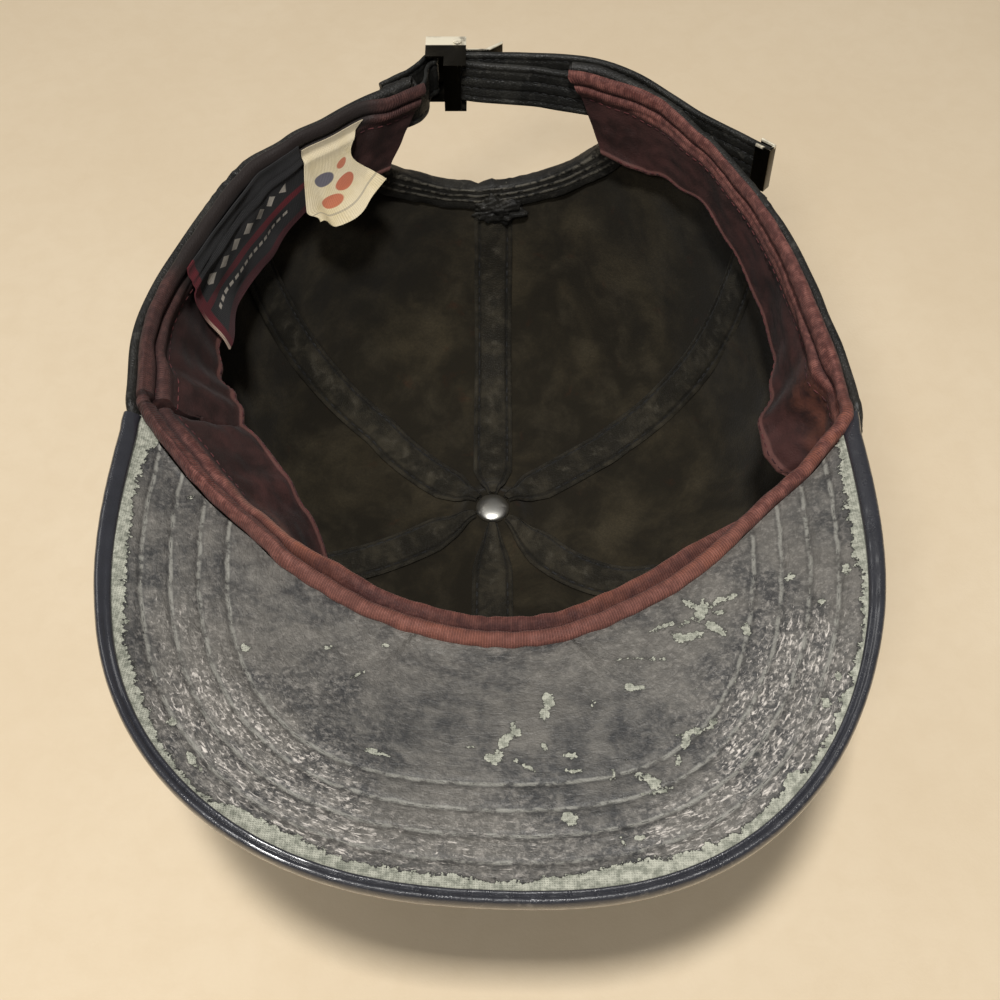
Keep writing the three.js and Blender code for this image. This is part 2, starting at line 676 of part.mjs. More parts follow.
// The tape folded over the arch's edge, with a leg on each face of the crown
function archTapeGeometry() {
  const margins = [0, ARCH_TAPE_WALL, ARCH_TAPE_LEG].map(archCurve);
  const stations = [];
  margins[0].forEach((root, step) => {
    if (root.z > ARCH_TAPE_TOP) {
      return;
    }
    const [edge, web, tip] = margins.map((curve) => {
      const point = curve[step];
      const place = backWallPlace(point.x, Math.min(point.z, ARCH_TAPE_TOP));
      const thick = smoothStep(ARCH_HEM_LEVELS.from, ARCH_HEM_LEVELS.to, place.level);
      return { ...place, wall: mix(levelValue(1, 'wall'), HEM_WALL, thick) };
    });
    const outside = (place, out) => crownInset(place.angle, place.level, -SKIN_GAP - out);
    const inside = (place, out) => crownInset(place.angle, place.level, place.wall + SKIN_GAP + out);
    stations.push([
      outside(edge, ARCH_TAPE_WALL),
      outside(tip, ARCH_TAPE_EDGE),
      outside(tip, 0),
      outside(web, 0),
      inside(web, 0),
      inside(tip, 0),
      inside(tip, ARCH_TAPE_EDGE),
      inside(edge, ARCH_TAPE_WALL),
    ]);
  });
  const depth = HEM_WALL / 2 + SKIN_GAP;
  const outline = [
    [0, depth + ARCH_TAPE_WALL],
    [ARCH_TAPE_LEG, depth + ARCH_TAPE_EDGE],
    [ARCH_TAPE_LEG, depth],
    [ARCH_TAPE_WALL, depth],
    [ARCH_TAPE_WALL, -depth],
    [ARCH_TAPE_LEG, -depth],
    [ARCH_TAPE_LEG, -depth - ARCH_TAPE_EDGE],
    [0, -depth - ARCH_TAPE_WALL],
  ].map(([x, y]) => new THREE.Vector2(x, y));
  return loftGeometry(stations, outline);
}

// A place on the brim's plan: across from the left corner to the right one, out from the crown to the edge
function brimPlace(across, out) {
  const angle = mix(270 - BRIM_HALF_SPAN, 270 + BRIM_HALF_SPAN, across);
  const root = crownInset(angle, RIM_LEVEL - 1, HEM_WALL - GAP);
  const turn = Math.PI * (1 + across);
  const power = 2 / BRIM_SQUARENESS;
  const reach = Math.abs(signedPower(Math.sin(turn), power));
  const edgeX = BRIM_HALF_WIDTH * signedPower(Math.cos(turn), power) + BRIM_TIP_SHIFT * reach * reach;
  const edgeY = mix(BRIM_CORNER_Y, BRIM_TIP_Y, reach);
  return { x: mix(root.x, edgeX, out), y: mix(root.y, edgeY, out) };
}

// A point of the brim: down is the depth under its upper face
function brimPoint(across, out, down) {
  const { x, y } = brimPlace(across, out);
  return vector(x, y, brimHeight(x, y) - down);
}

function brimGeometry() {
  const grid = (down) => Array.from({ length: BRIM_ROWS + 1 }, (_, row) => (
    Array.from({ length: BRIM_COLUMNS + 1 }, (__, column) => (
      brimPoint(column / BRIM_COLUMNS, row / BRIM_ROWS, down)
    ))
  ));
  return wallGeometry(grid(0), grid(BRIM_WALL));
}

// The hem over the brim's edge, wider at the sides than at the tip
function hemGeometry() {
  const stations = [];
  for (let column = 0; column <= BRIM_COLUMNS; column += 1) {
    const across = mix(HEM_END, 1 - HEM_END, column / BRIM_COLUMNS);
    const edge = brimPoint(across, 1, 0);
    const before = brimPoint(Math.max(0, across - HEM_SLOPE_STEP), 1, 0);
    const after = brimPoint(Math.min(1, across + HEM_SLOPE_STEP), 1, 0);
    const outward = after.sub(before).setZ(0).normalize();
    outward.set(outward.y, -outward.x, 0);
    const side = Math.abs(2 * column / BRIM_COLUMNS - 1) ** 2;
    const cover = mix(HEM_TIP_COVER, HEM_SIDE_COVER, side);
    const at = (out, up) => {
      const place = edge.clone().addScaledVector(outward, out);
      return place.setZ(brimHeight(place.x, place.y) + up);
    };
    const under = -BRIM_WALL - GAP;
    stations.push([
      at(-cover, GAP),
      at(-cover, GAP + HEM_EDGE),
      at(-cover / 2, GAP + HEM_SHEET),
      at(HEM_ROUND, HEM_SHEET),
      at(HEM_ROUND * 2, -BRIM_WALL / 2),
      at(HEM_ROUND, -BRIM_WALL - HEM_SHEET),
      at(-cover / 2, under - HEM_SHEET),
      at(-cover, under - HEM_EDGE),
      at(-cover, under),
      at(GAP, under),
      at(GAP, GAP),
    ]);
  }
  const [root] = stations;
  const outward = root[9].clone().sub(root[8]).setZ(0).normalize();
  const outline = root.map((point) => (
    new THREE.Vector2(point.clone().sub(root[8]).dot(outward), point.z - brimHeight(point.x, point.y))
  ));
  return loftGeometry(stations, outline);
}

// The sweatband's lie at a plan angle
function bandLie(angle) {
  const value = (column) => eased(BAND_LIE, angle, column);
  return { lean: value('lean'), pressed: value('pressed'), behind: value('behind'), width: value('width') };
}

// The level on the crown's wall at a drop under the full rim
function levelAtDrop(angle, drop) {
  const target = crownPoint(angle, RIM_LEVEL, true).z - drop;
  return turningPoint(SEAM_FLAT_LEVEL, RIM_LEVEL, (level) => crownPoint(angle, level, true).z < target);
}

// A point of the sweatband: along its height from the rim, and proud of its outer face
function bandPoint(angle, along, proud) {
  const share = Math.max(0, along) / BAND_LENGTH;
  const fromEnd = Math.min(angle - BAND_LIE[0].angle, BAND_LIE[BAND_LIE.length - 1].angle - angle);
  const side = angle < 270 ? 1 : -1;
  const place = angle + side * BAND_END_SKEW * share * smoothStep(BAND_END_EASE, 0, fromEnd);
  const { lean, pressed, behind, width } = bandLie(angle);
  const fall = Math.sqrt((BAND_LENGTH * width) ** 2 - lean ** 2);
  const inward = crownNormal(place, RIM_LEVEL - 3).setZ(0).normalize().negate();
  const straight = mix(behind, lean, share) - pressed * Math.sin(Math.PI * share);
  const clear = Math.max(behind, BAND_STAND_OFF) * smoothStep(BAND_ROLL_END.from, BAND_ROLL_END.to, along);
  const inset = HEM_WALL + Math.max(straight, behind * (1 - share), clear);
  const drop = along < 0 ? along : fall * share;
  const level = levelAtDrop(place, Math.max(0, drop));
  const point = crownPoint(place, Math.min(level, RIM_LEVEL - 1), true);
  point.z = crownPoint(place, RIM_LEVEL, true).z - drop;
  point.addScaledVector(inward, inset + (proud * fall) / BAND_LENGTH);
  point.z += (proud * lean) / BAND_LENGTH;
  return point;
}

function bandAngles() {
  return BAND_LIE.slice(1).reduce((angles, row) => {
    const start = angles[angles.length - 1];
    const steps = Math.ceil((row.angle - start) / BAND_STEP);
    const added = Array.from({ length: steps }, (_, step) => mix(start, row.angle, (step + 1) / steps));
    return [...angles, ...added];
  }, [BAND_LIE[0].angle]);
}

function sweatbandGeometry() {
  const stations = bandAngles().map((angle) => (
    BAND_SECTION.map(({ along, proud }) => bandPoint(angle, along, proud))
  ));
  return loftGeometry(stations, BAND_SECTION.map(({ along, proud }) => new THREE.Vector2(along, proud)));
}

// The label sewn over the left of the sweatband, with a column at each of the band's own stations
function labelGeometry() {
  const within = bandAngles().filter((angle) => angle > LABEL.from + 1 && angle < LABEL.to - 1);
  const angles = [LABEL.from, ...within, LABEL.to];
  const grid = (proud) => LABEL.rows.map((along) => angles.map((angle) => bandPoint(angle, along, proud)));
  return wallGeometry(grid(LABEL.clear + LABEL.wall), grid(LABEL.clear));
}

// The tag that hangs from the roll, with a drawn-in right side and a lower end that stands off
function tagGeometry() {
  const grid = (extra) => Array.from({ length: TAG.rows + 1 }, (_, row) => (
    Array.from({ length: TAG.columns + 1 }, (__, column) => {
      const across = column / TAG.columns;
      const down = row / TAG.rows;
      const waist = TAG.waist * Math.sin(Math.PI * down) * (1 - across);
      const right = mix(TAG.topFrom, TAG.bottomFrom, down) + waist;
      const left = mix(TAG.topTo, TAG.bottomTo, down);
      const length = mix(TAG.short, TAG.long, across) + TAG.belly * Math.sin(Math.PI * across);
      const proud = TAG.clear + TAG.curl * down * down + extra;
      return bandPoint(mix(right, left, across), mix(TAG.start, length, down), proud);
    })
  ));
  return wallGeometry(grid(TAG.wall), grid(0));
}

// A flat strip on edge along a path in plan, from its low to its high side; droop lowers its far end
function stripGeometry(path, wall, low, high, droop = 0) {
  const total = path.length - 1;
  const stations = path.map((point, step) => {
    const before = path[Math.max(0, step - 1)];
    const after = path[Math.min(total, step + 1)];
    const along = new THREE.Vector2(after.x - before.x, after.y - before.y).normalize();
    const sag = droop * smoothStep(DROOP_SHARE.from, DROOP_SHARE.to, step / total);
    const at = (side, z) => {
      const out = (side * wall) / 2;
      return vector(point.x - along.y * out, point.y + along.x * out, z - sag);
    };
    return [at(-1, low), at(1, low), at(1, high), at(-1, high)];
  });
  const outline = [[-1, -1], [1, -1], [1, 1], [-1, 1]].map(([x, y]) => new THREE.Vector2(x, y));
  return loftGeometry(stations, outline);
}

// A path in plan that comes in along one row of points, turns round a bar and goes out along another
function foldedPath(inner, bar, wall, fold, outer) {
  const radius = bar.radius + GAP + wall / 2;
  const turn = Array.from({ length: fold.steps + 1 }, (_, step) => {
    const angle = radians(mix(fold.from, fold.to, step / fold.steps));
    return { x: bar.x + radius * Math.cos(angle), y: bar.y + radius * Math.sin(angle) };
  });
  const points = [...inner, ...turn, ...outer].map(({ x, y }) => vector(x, y, 0));
  return new THREE.CatmullRomCurve3(points, false, 'centripetal').getPoints(2 * (points.length - 1));
}

function addStrap() {
  const path = foldedPath(STRAP_INNER, STRAP_BAR, STRAP_WALL, STRAP_FOLD, STRAP_OUTER);
  const low = STRAP_TOP - STRAP_WIDTH;
  addPiece('strap', stripGeometry(path, STRAP_WALL, low, STRAP_TOP, STRAP_DROOP), LEATHER);
  addPiece('strap_tip', tipGeometry(path), NICKEL);
}

// The metal end folded over the strap's free end
function tipGeometry(path) {
  const end = path[path.length - 1];
  const along = end.clone().sub(path[path.length - 2]).normalize();
  const half = STRAP_WALL / 2;
  const { length, wall, grip, top } = STRAP_TIP;
  const profile = [
    [-grip, half + GAP],
    [-grip, half + GAP + wall],
    [length - grip, half + wall],
    [length - grip, -half - wall],
    [-grip, -half - GAP - wall],
    [-grip, -half - GAP],
    [GAP, -half - GAP],
    [GAP, half + GAP],
  ].map(([x, y]) => new THREE.Vector2(x, y));
  const depth = STRAP_WIDTH + 2 * top;
  const geometry = new THREE.ExtrudeGeometry(new THREE.Shape(profile), { depth, bevelEnabled: false });
  geometry.rotateZ(Math.atan2(along.y, along.x));
  geometry.translate(end.x, end.y, STRAP_TOP - STRAP_DROOP - STRAP_WIDTH - top);
  return outwardGeometry(geometry);
}

function plateGeometry(corners, low, high, hole) {
  const shape = new THREE.Shape(corners.map(([x, y]) => new THREE.Vector2(x, y)));
  if (hole) {
    shape.holes.push(new THREE.Path().absarc(hole.x, hole.y, hole.radius, 0, 2 * Math.PI, true));
  }
  const options = { depth: high - low, bevelEnabled: false, curveSegments: 8 };
  const geometry = new THREE.ExtrudeGeometry(shape, options);
  geometry.translate(0, 0, low);
  return outwardGeometry(geometry);
}

// The frame: an ear above and below, a plate on the inside and the outside, and two bars
function frameGeometry() {
  const { left, neck, right, inner, step, outer, plate } = BUCKLE;
  const ear = [[neck, inner], [right, inner], [right, outer], [left, outer], [left, step], [neck, step]];
  const hole = { ...LEVER_PIN, radius: LEVER_PIN.radius + GAP };
  const sheet = BUCKLE_SHEET;
  const pieces = [
    plateGeometry(ear, BUCKLE_BOTTOM, BUCKLE_BOTTOM + sheet, hole),
    plateGeometry(ear, BUCKLE_TOP - sheet, BUCKLE_TOP, hole),
    boxGeometry(vector(neck, inner, BUCKLE_BOTTOM), vector(neck + plate, inner + sheet, BUCKLE_TOP)),
    boxGeometry(vector(left, outer - sheet, BUCKLE_BOTTOM), vector(neck, outer, BUCKLE_TOP)),
    barGeometry(STRAP_BAR, STRAP_BAR.radius, BUCKLE_BOTTOM, BUCKLE_TOP, BUCKLE_ROUND),
    barGeometry(TAB_BAR, TAB_BAR.radius, BUCKLE_BOTTOM, BUCKLE_TOP, BUCKLE_ROUND),
  ];
  return geometryOfSolid(pieces.map(solidFrom).reduce((whole, piece) => whole.add(piece)));
}

// The lever: a barrel on the pin, a plate along the strap and a lip for the finger
function leverGeometry() {
  const { barrel, width, wall, low, bend, tip, rise, lip } = LEVER;
  const middle = (BUCKLE_BOTTOM + BUCKLE_TOP) / 2;
  const start = LEVER_PIN.x;
  const plate = [
    [start, low],
    [bend, low],
    [tip, low + rise],
    [tip, low + rise + lip],
    [bend - wall, low + wall],
    [start, low + wall],
  ];
  const span = [middle - width / 2, middle + width / 2];
  const hub = solidFrom(barGeometry(LEVER_PIN, barrel, ...span, 16));
  const bore = solidFrom(barGeometry(LEVER_PIN, LEVER_PIN.radius + GAP, span[0] - 1, span[1] + 1, 12));
  return geometryOfSolid(hub.add(solidFrom(plateGeometry(plate, ...span))).subtract(bore));
}

function pinGeometry() {
  const { x, y, radius, head, headWall } = LEVER_PIN;
  const low = BUCKLE_BOTTOM - GAP - headWall;
  const high = BUCKLE_TOP + GAP + headWall;
  const section = [
    { r: 0, z: low },
    { r: head, z: low },
    { r: head, z: low + headWall },
    { r: radius, z: low + headWall },
    { r: radius, z: high - headWall },
    { r: head, z: high - headWall },
    { r: head, z: high },
    { r: 0, z: high },
  ];
  const geometry = roundGeometry(section, 12);
  geometry.translate(x, y, 0);
  return geometry;
}

function addTab() {
  const path = foldedPath(TAB_INNER, TAB_BAR, TAB_WALL, TAB_FOLD, TAB_OUTER);
  addPiece('tab_loop', stripGeometry(path, TAB_WALL, TAB_TOP - TAB_WIDTH, TAB_TOP), LEATHER);
}

addPanels();
addSeamTapes();
addPiece('top_button', roundGeometry(BUTTON_SECTION, ROUND_STEPS), LEATHER);
addPiece('button_rivet', roundGeometry(RIVET_SECTION, ROUND_STEPS), NICKEL);
addPiece('brim', brimGeometry(), WORN_LEATHER);
addPiece('brim_hem', hemGeometry(), LEATHER);
addPiece('arch_tape', archTapeGeometry(), LEATHER);
addPiece('sweatband', sweatbandGeometry(), MAROON);
addPiece('woven_label', labelGeometry(), WOVEN);
addPiece('care_tag', tagGeometry(), CREAM);
addStrap();
addTab();
addPiece('buckle_frame', frameGeometry(), NICKEL);
addPiece('buckle_pin', pinGeometry(), NICKEL);
addPiece('buckle_lever', leverGeometry(), NICKEL);

export default cap;
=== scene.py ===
"""A worn black leather baseball cap that lies upside down on its crown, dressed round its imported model."""

import math

import bmesh
import bpy
import numpy as np
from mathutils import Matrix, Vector


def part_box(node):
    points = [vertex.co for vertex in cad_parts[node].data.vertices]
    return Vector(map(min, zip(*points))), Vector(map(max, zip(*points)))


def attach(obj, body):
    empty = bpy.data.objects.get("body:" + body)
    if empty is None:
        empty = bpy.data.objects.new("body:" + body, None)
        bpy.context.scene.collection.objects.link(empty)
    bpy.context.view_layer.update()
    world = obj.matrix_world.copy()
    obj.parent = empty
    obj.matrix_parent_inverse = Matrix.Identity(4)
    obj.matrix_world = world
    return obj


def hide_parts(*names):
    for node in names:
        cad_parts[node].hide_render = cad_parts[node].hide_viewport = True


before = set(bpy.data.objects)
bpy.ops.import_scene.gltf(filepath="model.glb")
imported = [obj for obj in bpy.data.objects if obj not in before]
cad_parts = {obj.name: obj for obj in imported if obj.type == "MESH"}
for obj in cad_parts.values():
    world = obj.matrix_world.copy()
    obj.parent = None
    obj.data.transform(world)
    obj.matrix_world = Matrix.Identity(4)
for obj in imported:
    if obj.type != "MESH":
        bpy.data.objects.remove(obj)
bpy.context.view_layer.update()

bl_info = {
    "name": "Worn leather cap",
    "version": (1, 0, 0),
    "blender": (4, 5, 0),
    "location": "View3D > Sidebar > Cap",
    "description": "Leather, suede, stitching and trims for a baseball cap",
    "category": "Object",
}

# All tables are in millimetres and degrees; pieces are written out in metres.
MM = 0.001
MM_IN_M = 1000.0

# The crown's outside face: height, half width, middle along Y, reach to the front and back,
# roundness of the front, wall
CROWN_LEVELS = np.array([
    (3.8, 2.2, 0, 2.2, 2.2, 2, 1.4), (3.8, 7.2, 0, 7.2, 7.2, 2, 1.4), (1.4, 11, 0, 11, 11, 2, 1.4),
    (0, 15, 0, 15, 15, 2, 1.4), (0, 30, -3, 33, 31, 2, 1.4), (0, 46, -6, 52, 49, 2, 1.4),
    (2.2, 56, -9, 60, 62, 2, 1.4), (8, 67, -13, 66, 76, 2, 1.4), (18, 77, -18, 70, 90, 2, 1.4),
    (31, 84.5, -23, 72, 101.5, 1.98, 1.4), (47, 89.5, -28, 72, 110.5, 1.93, 1.4),
    (64, 92, -32, 71.5, 116.5, 1.83, 1.4), (82, 93, -35, 71, 120.5, 1.7, 1.4),
    (97, 93.3, -38, 69, 124, 1.6, 1.5), (102, 93.2, -38, 69, 123.8, 1.6, 2.6),
    (106, 93, -38, 69, 123.6, 1.6, 2.6), (107, 92.2, -38, 68.2, 122.8, 1.6, 1.2),
])
RIM_NOMINAL = 107
HEM_WALL = 2.6
# The rim's height at the back and its slope, and how far it sinks under the brim
RIM_BACK_Y, RIM_BACK_Z, RIM_SLOPE, RIM_SINK = 87, 116, 0.0885, 3.3
# Levels, as rows of the table: the rim's edge, its top, the end of the back seam under the arch, and
# the lowest stitches, which stay off the floor
RIM_EDGE, RIM_TOP, BACK_SEAM_END, LOWEST_STITCH = 15.0, 16.0, 10.6, 6.3

# How far the worn rim stands out of its even curve: angle, out
RIM_LIE = np.array([
    (0, 0.5), (14, -1.8), (38, -1), (48, 0.4), (58, 3.2), (70, 4.6), (78, 2.8), (103, -2.6),
    (113, -4.4), (123, -4.6), (131, -2.4), (140, 0.8), (152, 0.3), (168, 2.1), (183, -0.6),
    (205, -4), (222, -4.2), (232, -2), (250, -0.4), (270, 0), (286, 1.8), (300, 0.9), (325, -2.3),
    (337, -0.3), (349, 2.2), (360, 0.5),
])

# Half of a seam tape's width, its stitches as a share of that, and the seams' stitches from the seam
TAPE_HALF, TAPE_STITCHES, SEAM_STITCHES = 6.5, 0.74, 2.4
# Half of the gap between two panels at their seam, and the gap between the crown and what lies inside it
SEAM_GAP, INSIDE_GAP = 0.03, 0.3
# Plan angles of the seams near the button, on the flat and at the rim
SEAMS = {
    "back": (90, 90, 90), "back_left": (138, 134.5, 143), "front_left": (199, 193.5, 200.5),
    "front": (270, 270, 270), "front_right": (322, 342, 338.5), "back_right": (42, 40.5, 33.2),
}
PANELS = {
    "panel_back_right": ("back_right", "back"), "panel_back_left": ("back", "back_left"),
    "panel_side_left": ("back_left", "front_left"), "panel_front_left": ("front_left", "front"),
    "panel_front_right": ("front", "front_right"), "panel_side_right": ("front_right", "back_right"),
}

# The sweatband: its height and its ends as plan angles; its section, along and proud of its face; and
# its lie: angle, lean, pressed, behind, width
BAND_LENGTH = 33
BAND_START, BAND_END = 104.5, 435.5
BAND_FACE = np.array([
    (1.8, -0.3), (-0.6, -0.4), (-1.4, 0), (-1.9, 1.0), (-1.6, 2.2), (-0.3, 3.2), (1.3, 3.4), (2.7, 2.9),
    (3.4, 1.9), (3.7, 1.5), (4.0, 2.0), (4.7, 2.9), (5.9, 3.2), (7.1, 2.8), (8.2, 1.9), (9.4, 1.35),
    (14, 1.3), (20, 1.3), (26, 1.3), (30.6, 1.35), (31.0, 1.9), (32.0, 2.1), (32.9, 1.7), (33.1, 0.6),
    (32.4, 0.1),
])
BAND_LIE = np.array([
    (BAND_START, 4.4, 0, 4, 0.75), (111, 4.2, 0, 4, 0.75), (118, 3, 0, 0.5, 0.75), (130, 2.6, 0, 0.5, 0.75),
    (141, 2.4, 0, 0.5, 1), (150, 3, 0.5, 0.5, 1), (158.5, 6, 0.8, 0.5, 1), (165, 12, 1, 0.5, 1),
    (172, 20, 1, 0.5, 1), (176, 23, -2, 0.5, 1), (181, 23, -2, 0.5, 1), (184, 10, 3, 0.5, 1),
    (186, 10, 3, 0.5, 1), (188.5, 24.5, -1, 0.5, 1), (200, 26, -1.5, 0.5, 1), (211, 26, -1, 0.5, 1),
    (220, 24, 0, 0.5, 1), (228, 18.5, 0, 0.5, 1), (236, 10, 0, 0.5, 1), (246, 3, 0, 0.5, 1),
    (288, 2.6, 0, 0.5, 1), (325, 2.8, 0, 0.5, 1), (343, 3.4, 0, 0.5, 1), (350, 8, 2, 0.5, 1),
    (356, 13, 5, 0.5, 1), (361, 16, 6, 0.5, 1), (366, 15.5, -1, 0.5, 1), (372, 7.5, 0, 0.5, 1),
    (378, 2.6, 0, 0.5, 0.97), (386, 2.4, 0, 0.5, 0.82), (396, 2.4, 0, 0.5, 0.66),
    (404, 2.4, 0, 0.5, 0.55), (411, 2.4, 0, 0.5, 0.64), (419, 2.6, 0, 0.5, 0.77),
    (429, 4.2, 0, 4, 0.78), (BAND_END, 4.4, 0, 4, 0.78),
])

# The brim's upper face: its root's place and height, and its rise, arch and twist
BRIM_ROOT_Y, BRIM_ROOT_Z = -107, 93.1
BRIM_RISE, BRIM_ARCH, BRIM_TWIST = 0.15, 0.0025, 0.0017
# The brim's plan and the rows of stitching on it, as distances from its edge
BRIM_HALF_WIDTH, BRIM_CORNER_Y, BRIM_TIP_Y = 90.2, -50, -168.6
BRIM_SQUARENESS, BRIM_TIP_SHIFT = 2.73, 0.7
BRIM_CORNERS = (((-90.4, -42.8), (-90.5, -46), (-90.2, -50)), ((90.2, -50), (90.6, -46), (90.8, -42.8)))
BRIM_ROWS = (8.0, 14.1, 20.2, 26.6)

# Where the leather's film is gone on the brim: the worn ring's inner limit (run along the edge,
# distance from it), and loose flakes (x, y, half length, half width, turn)
PEELED_RING = np.array([
    (0, 7.2), (8, 5.0), (22, 4.7), (35, 5.2), (48, 4.8), (56, 4.4), (66, 3.6), (75, 4.1), (82, 4.0),
    (90, 3.3), (98, 2.5), (110, 2.2), (115, 3.0), (119, 5.2), (133, 5.6), (140, 4.2), (156, 4.3),
    (168, 4.1), (178, 3.4), (189, 4.7), (202, 6.4), (206, 6.1), (211, 4.7), (222, 4.2), (229, 3.4),
    (239, 3.9), (243, 4.2), (251, 2.7), (263, 2.5), (268, 3.2), (272, 2.4), (280, 3.0), (287, 2.3),
    (294, 3.1), (303, 3.6), (308, 4.6), (319, 5.3), (328, 5.0), (340, 4.4), (348, 4.4),
])
FLAKES = np.array([
    (49.2, -98.0, 3.4, 1.7, 70), (54.0, -95.4, 3.8, 0.9, 20), (51.8, -103.4, 3.0, 1.1, -50),
    (46.6, -95.4, 2.2, 0.8, -40), (45.8, -100.6, 2.4, 0.7, 30), (52.8, -99.2, 2.0, 0.7, -10),
    (45.2, -129.8, 3.4, 0.9, 10), (48.5, -128.8, 2.0, 0.8, 60), (42.6, -132.4, 1.6, 0.9, 80),
    (40.6, -101.2, 3.4, 0.8, 15), (43.2, -104.8, 2.4, 0.9, -55), (46.4, -104.9, 2.8, 1.1, 20),
    (34.3, -110.0, 4.4, 0.5, -4), (33.4, -117.9, 2.8, 0.6, -5), (31.6, -117.4, 1.1, 1.0, 0),
    (13.1, -120.6, 1.6, 2.4, 5), (12.2, -124.2, 0.9, 1.9, 12), (23.1, -122.5, 0.7, 1.2, 10),
    (3.2, -131.6, 1.1, 3.2, -35), (5.6, -128.8, 0.9, 2.0, 15), (1.2, -135.9, 1.9, 1.6, 0),
    (12.0, -132.7, 0.9, 1.2, 0), (17.8, -134.9, 1.0, 0.8, 0), (8.2, -137.6, 2.4, 0.7, -25),
    (19.4, -138.7, 1.8, 0.5, 0), (5.6, -136.2, 0.7, 0.7, 0), (17.1, -150.2, 1.7, 1.9, 0),
    (33.2, -140.6, 2.8, 0.9, -30), (36.8, -144.2, 2.4, 0.8, 10), (35.0, -142.2, 1.6, 1.4, 0),
    (63.6, -144.7, 1.9, 2.5, -25), (75.3, -100.5, 0.8, 1.0, 0), (69.6, -92.0, 1.1, 0.7, 30),
    (81.5, -92.5, 1.0, 1.6, 0), (72.7, -127.2, 1.1, 1.4, 0), (75.6, -121.2, 0.7, 1.3, 0),
    (-72.7, -66.7, 0.7, 1.1, -30), (-36.5, -107.2, 1.3, 0.8, 20), (-29.9, -114.5, 1.6, 0.5, 40),
    (-25.1, -135.4, 2.4, 0.7, -8), (-4.6, -132.7, 0.7, 0.5, 0), (-55.0, -109.9, 1.0, 0.9, 0),
    (-24.0, -105.2, 0.6, 0.5, 0), (-61.0, -142.6, 0.8, 2.2, 35), (-66.4, -133.6, 0.9, 1.8, 10),
    (29.5, -136.5, 0.6, 1.1, 0), (26.6, -140.0, 0.5, 1.2, 10), (40.8, -137.2, 0.6, 1.6, 5),
    (27.5, -156.0, 0.7, 1.2, 0), (31.4, -155.2, 1.1, 0.6, 0), (58.5, -104.8, 0.9, 1.6, 10),
])
# Rubbed and still smooth places on the brim: x, y, radius, strength
RUBBED = np.array([
    (-62, -127, 13, 0.9), (-50, -141, 12, 0.8), (-70, -105, 10, 0.4), (-34, -155, 13, 1.0),
    (-40, -146, 12, 0.5), (67, -124, 14, 1.0), (58, -138, 13, 0.9), (47, -150, 10, 0.6),
    (36, -156, 9, 0.6), (72, -108, 10, 0.5), (10, -157, 14, 0.4), (-10, -158, 12, 0.45),
    (-35, -118, 10, 0.25), (60, -95, 9, 0.25), (-8, -126, 17, -0.5), (20, -130, 13, -0.7),
    (24, -144, 9, -0.4), (-20, -147, 8, -0.3), (45, -140, 7, -0.4), (-50, -82, 16, -0.25),
])

# The arch at the back: half of its outline, x and z
ARCH_OUTLINE = ((0, 69), (12, 71.2), (23.5, 77.7), (32, 85.5), (36, 92), (33.5, 98.5), (27.5, 105),
                (23.4, 112), (22.6, 118))

# The strap and the short loop in plan, with the bars that they turn round
STRAP_PATH = ((30, 78.2), (24.5, 79.5), (20, 80.5), (12, 83), (-4, 84.4))
STRAP_BACK = ((-3, 89.4), (9, 89.4), (22, 88.6), (33, 86.1), (41, 81.2), (50, 73.8), (65, 61.2), (79.5, 49))
STRAP_BAR = (-11, 87.8, 0.9)
LOOP_PATH = ((-29, 69.5), (-25.5, 71.4), (-21.6, 73.6), (-19.7, 78), (-19.6, 84))
LOOP_BACK = ((-21.6, 86.4), (-24.8, 82.4), (-28.6, 79.5), (-33, 75.8))
LOOP_BAR = (-18.6, 88.2, 0.9)


# Plain sums


def smooth(low, high, value):
    share = np.clip((np.asarray(value, float) - low) / (high - low), 0, 1)
    return share * share * (3 - 2 * share)


def signed_power(value, power):
    return np.sign(value) * np.abs(value) ** power


def eased(table, angle, column=1):
    """A table's column between two of its rows, with a soft start and end."""
    angle = np.asarray(angle, float)
    row = np.clip(np.searchsorted(table[:, 0], angle), 1, len(table) - 1)
    share = smooth(0, 1, (angle - table[row - 1, 0]) / (table[row, 0] - table[row - 1, 0]))
    return table[row - 1, column] * (1 - share) + table[row, column] * share


def flowing(column, level):
    """A column of the crown's table at any level, without overshoot between its rows."""
    knots = CROWN_LEVELS[:, column]
    steps = np.diff(knots)
    slopes = np.zeros(len(knots))
    product = steps[:-1] * steps[1:]
    total = np.where(product > 0, steps[:-1] + steps[1:], 1)
    slopes[1:-1] = np.where(product > 0, 2 * product / total, 0)
    slopes[0], slopes[-1] = steps[0], steps[-1]
    row = np.clip(np.floor(level).astype(int), 0, len(knots) - 2)
    t = level - row
    a, b = knots[row], knots[row + 1]
    rise = a + (b - a) * t * t * (3 - 2 * t)
    return rise + slopes[row] * t * (1 - t) ** 2 - slopes[row + 1] * t * t * (1 - t)


def soft_noise(points, size, seed):
    """A smooth random value at each point, mostly between -1 and 1, with features of about that size."""
    dice = np.random.default_rng(seed)
    waves = dice.normal(size=(12, points.shape[-1]))
    waves = unit(waves) * 2 * np.pi / size * dice.uniform(0.55, 1.3, (12, 1))
    return np.sin(points @ waves.T + dice.uniform(0, 2 * np.pi, 12)).sum(-1) / 5


def run_of(line):
    """The length along a polyline to each of its points."""
    return np.concatenate([[0], np.cumsum(np.linalg.norm(np.diff(line, axis=0), axis=1))])


def unit(vectors):
    return vectors / np.linalg.norm(vectors, axis=-1, keepdims=True)


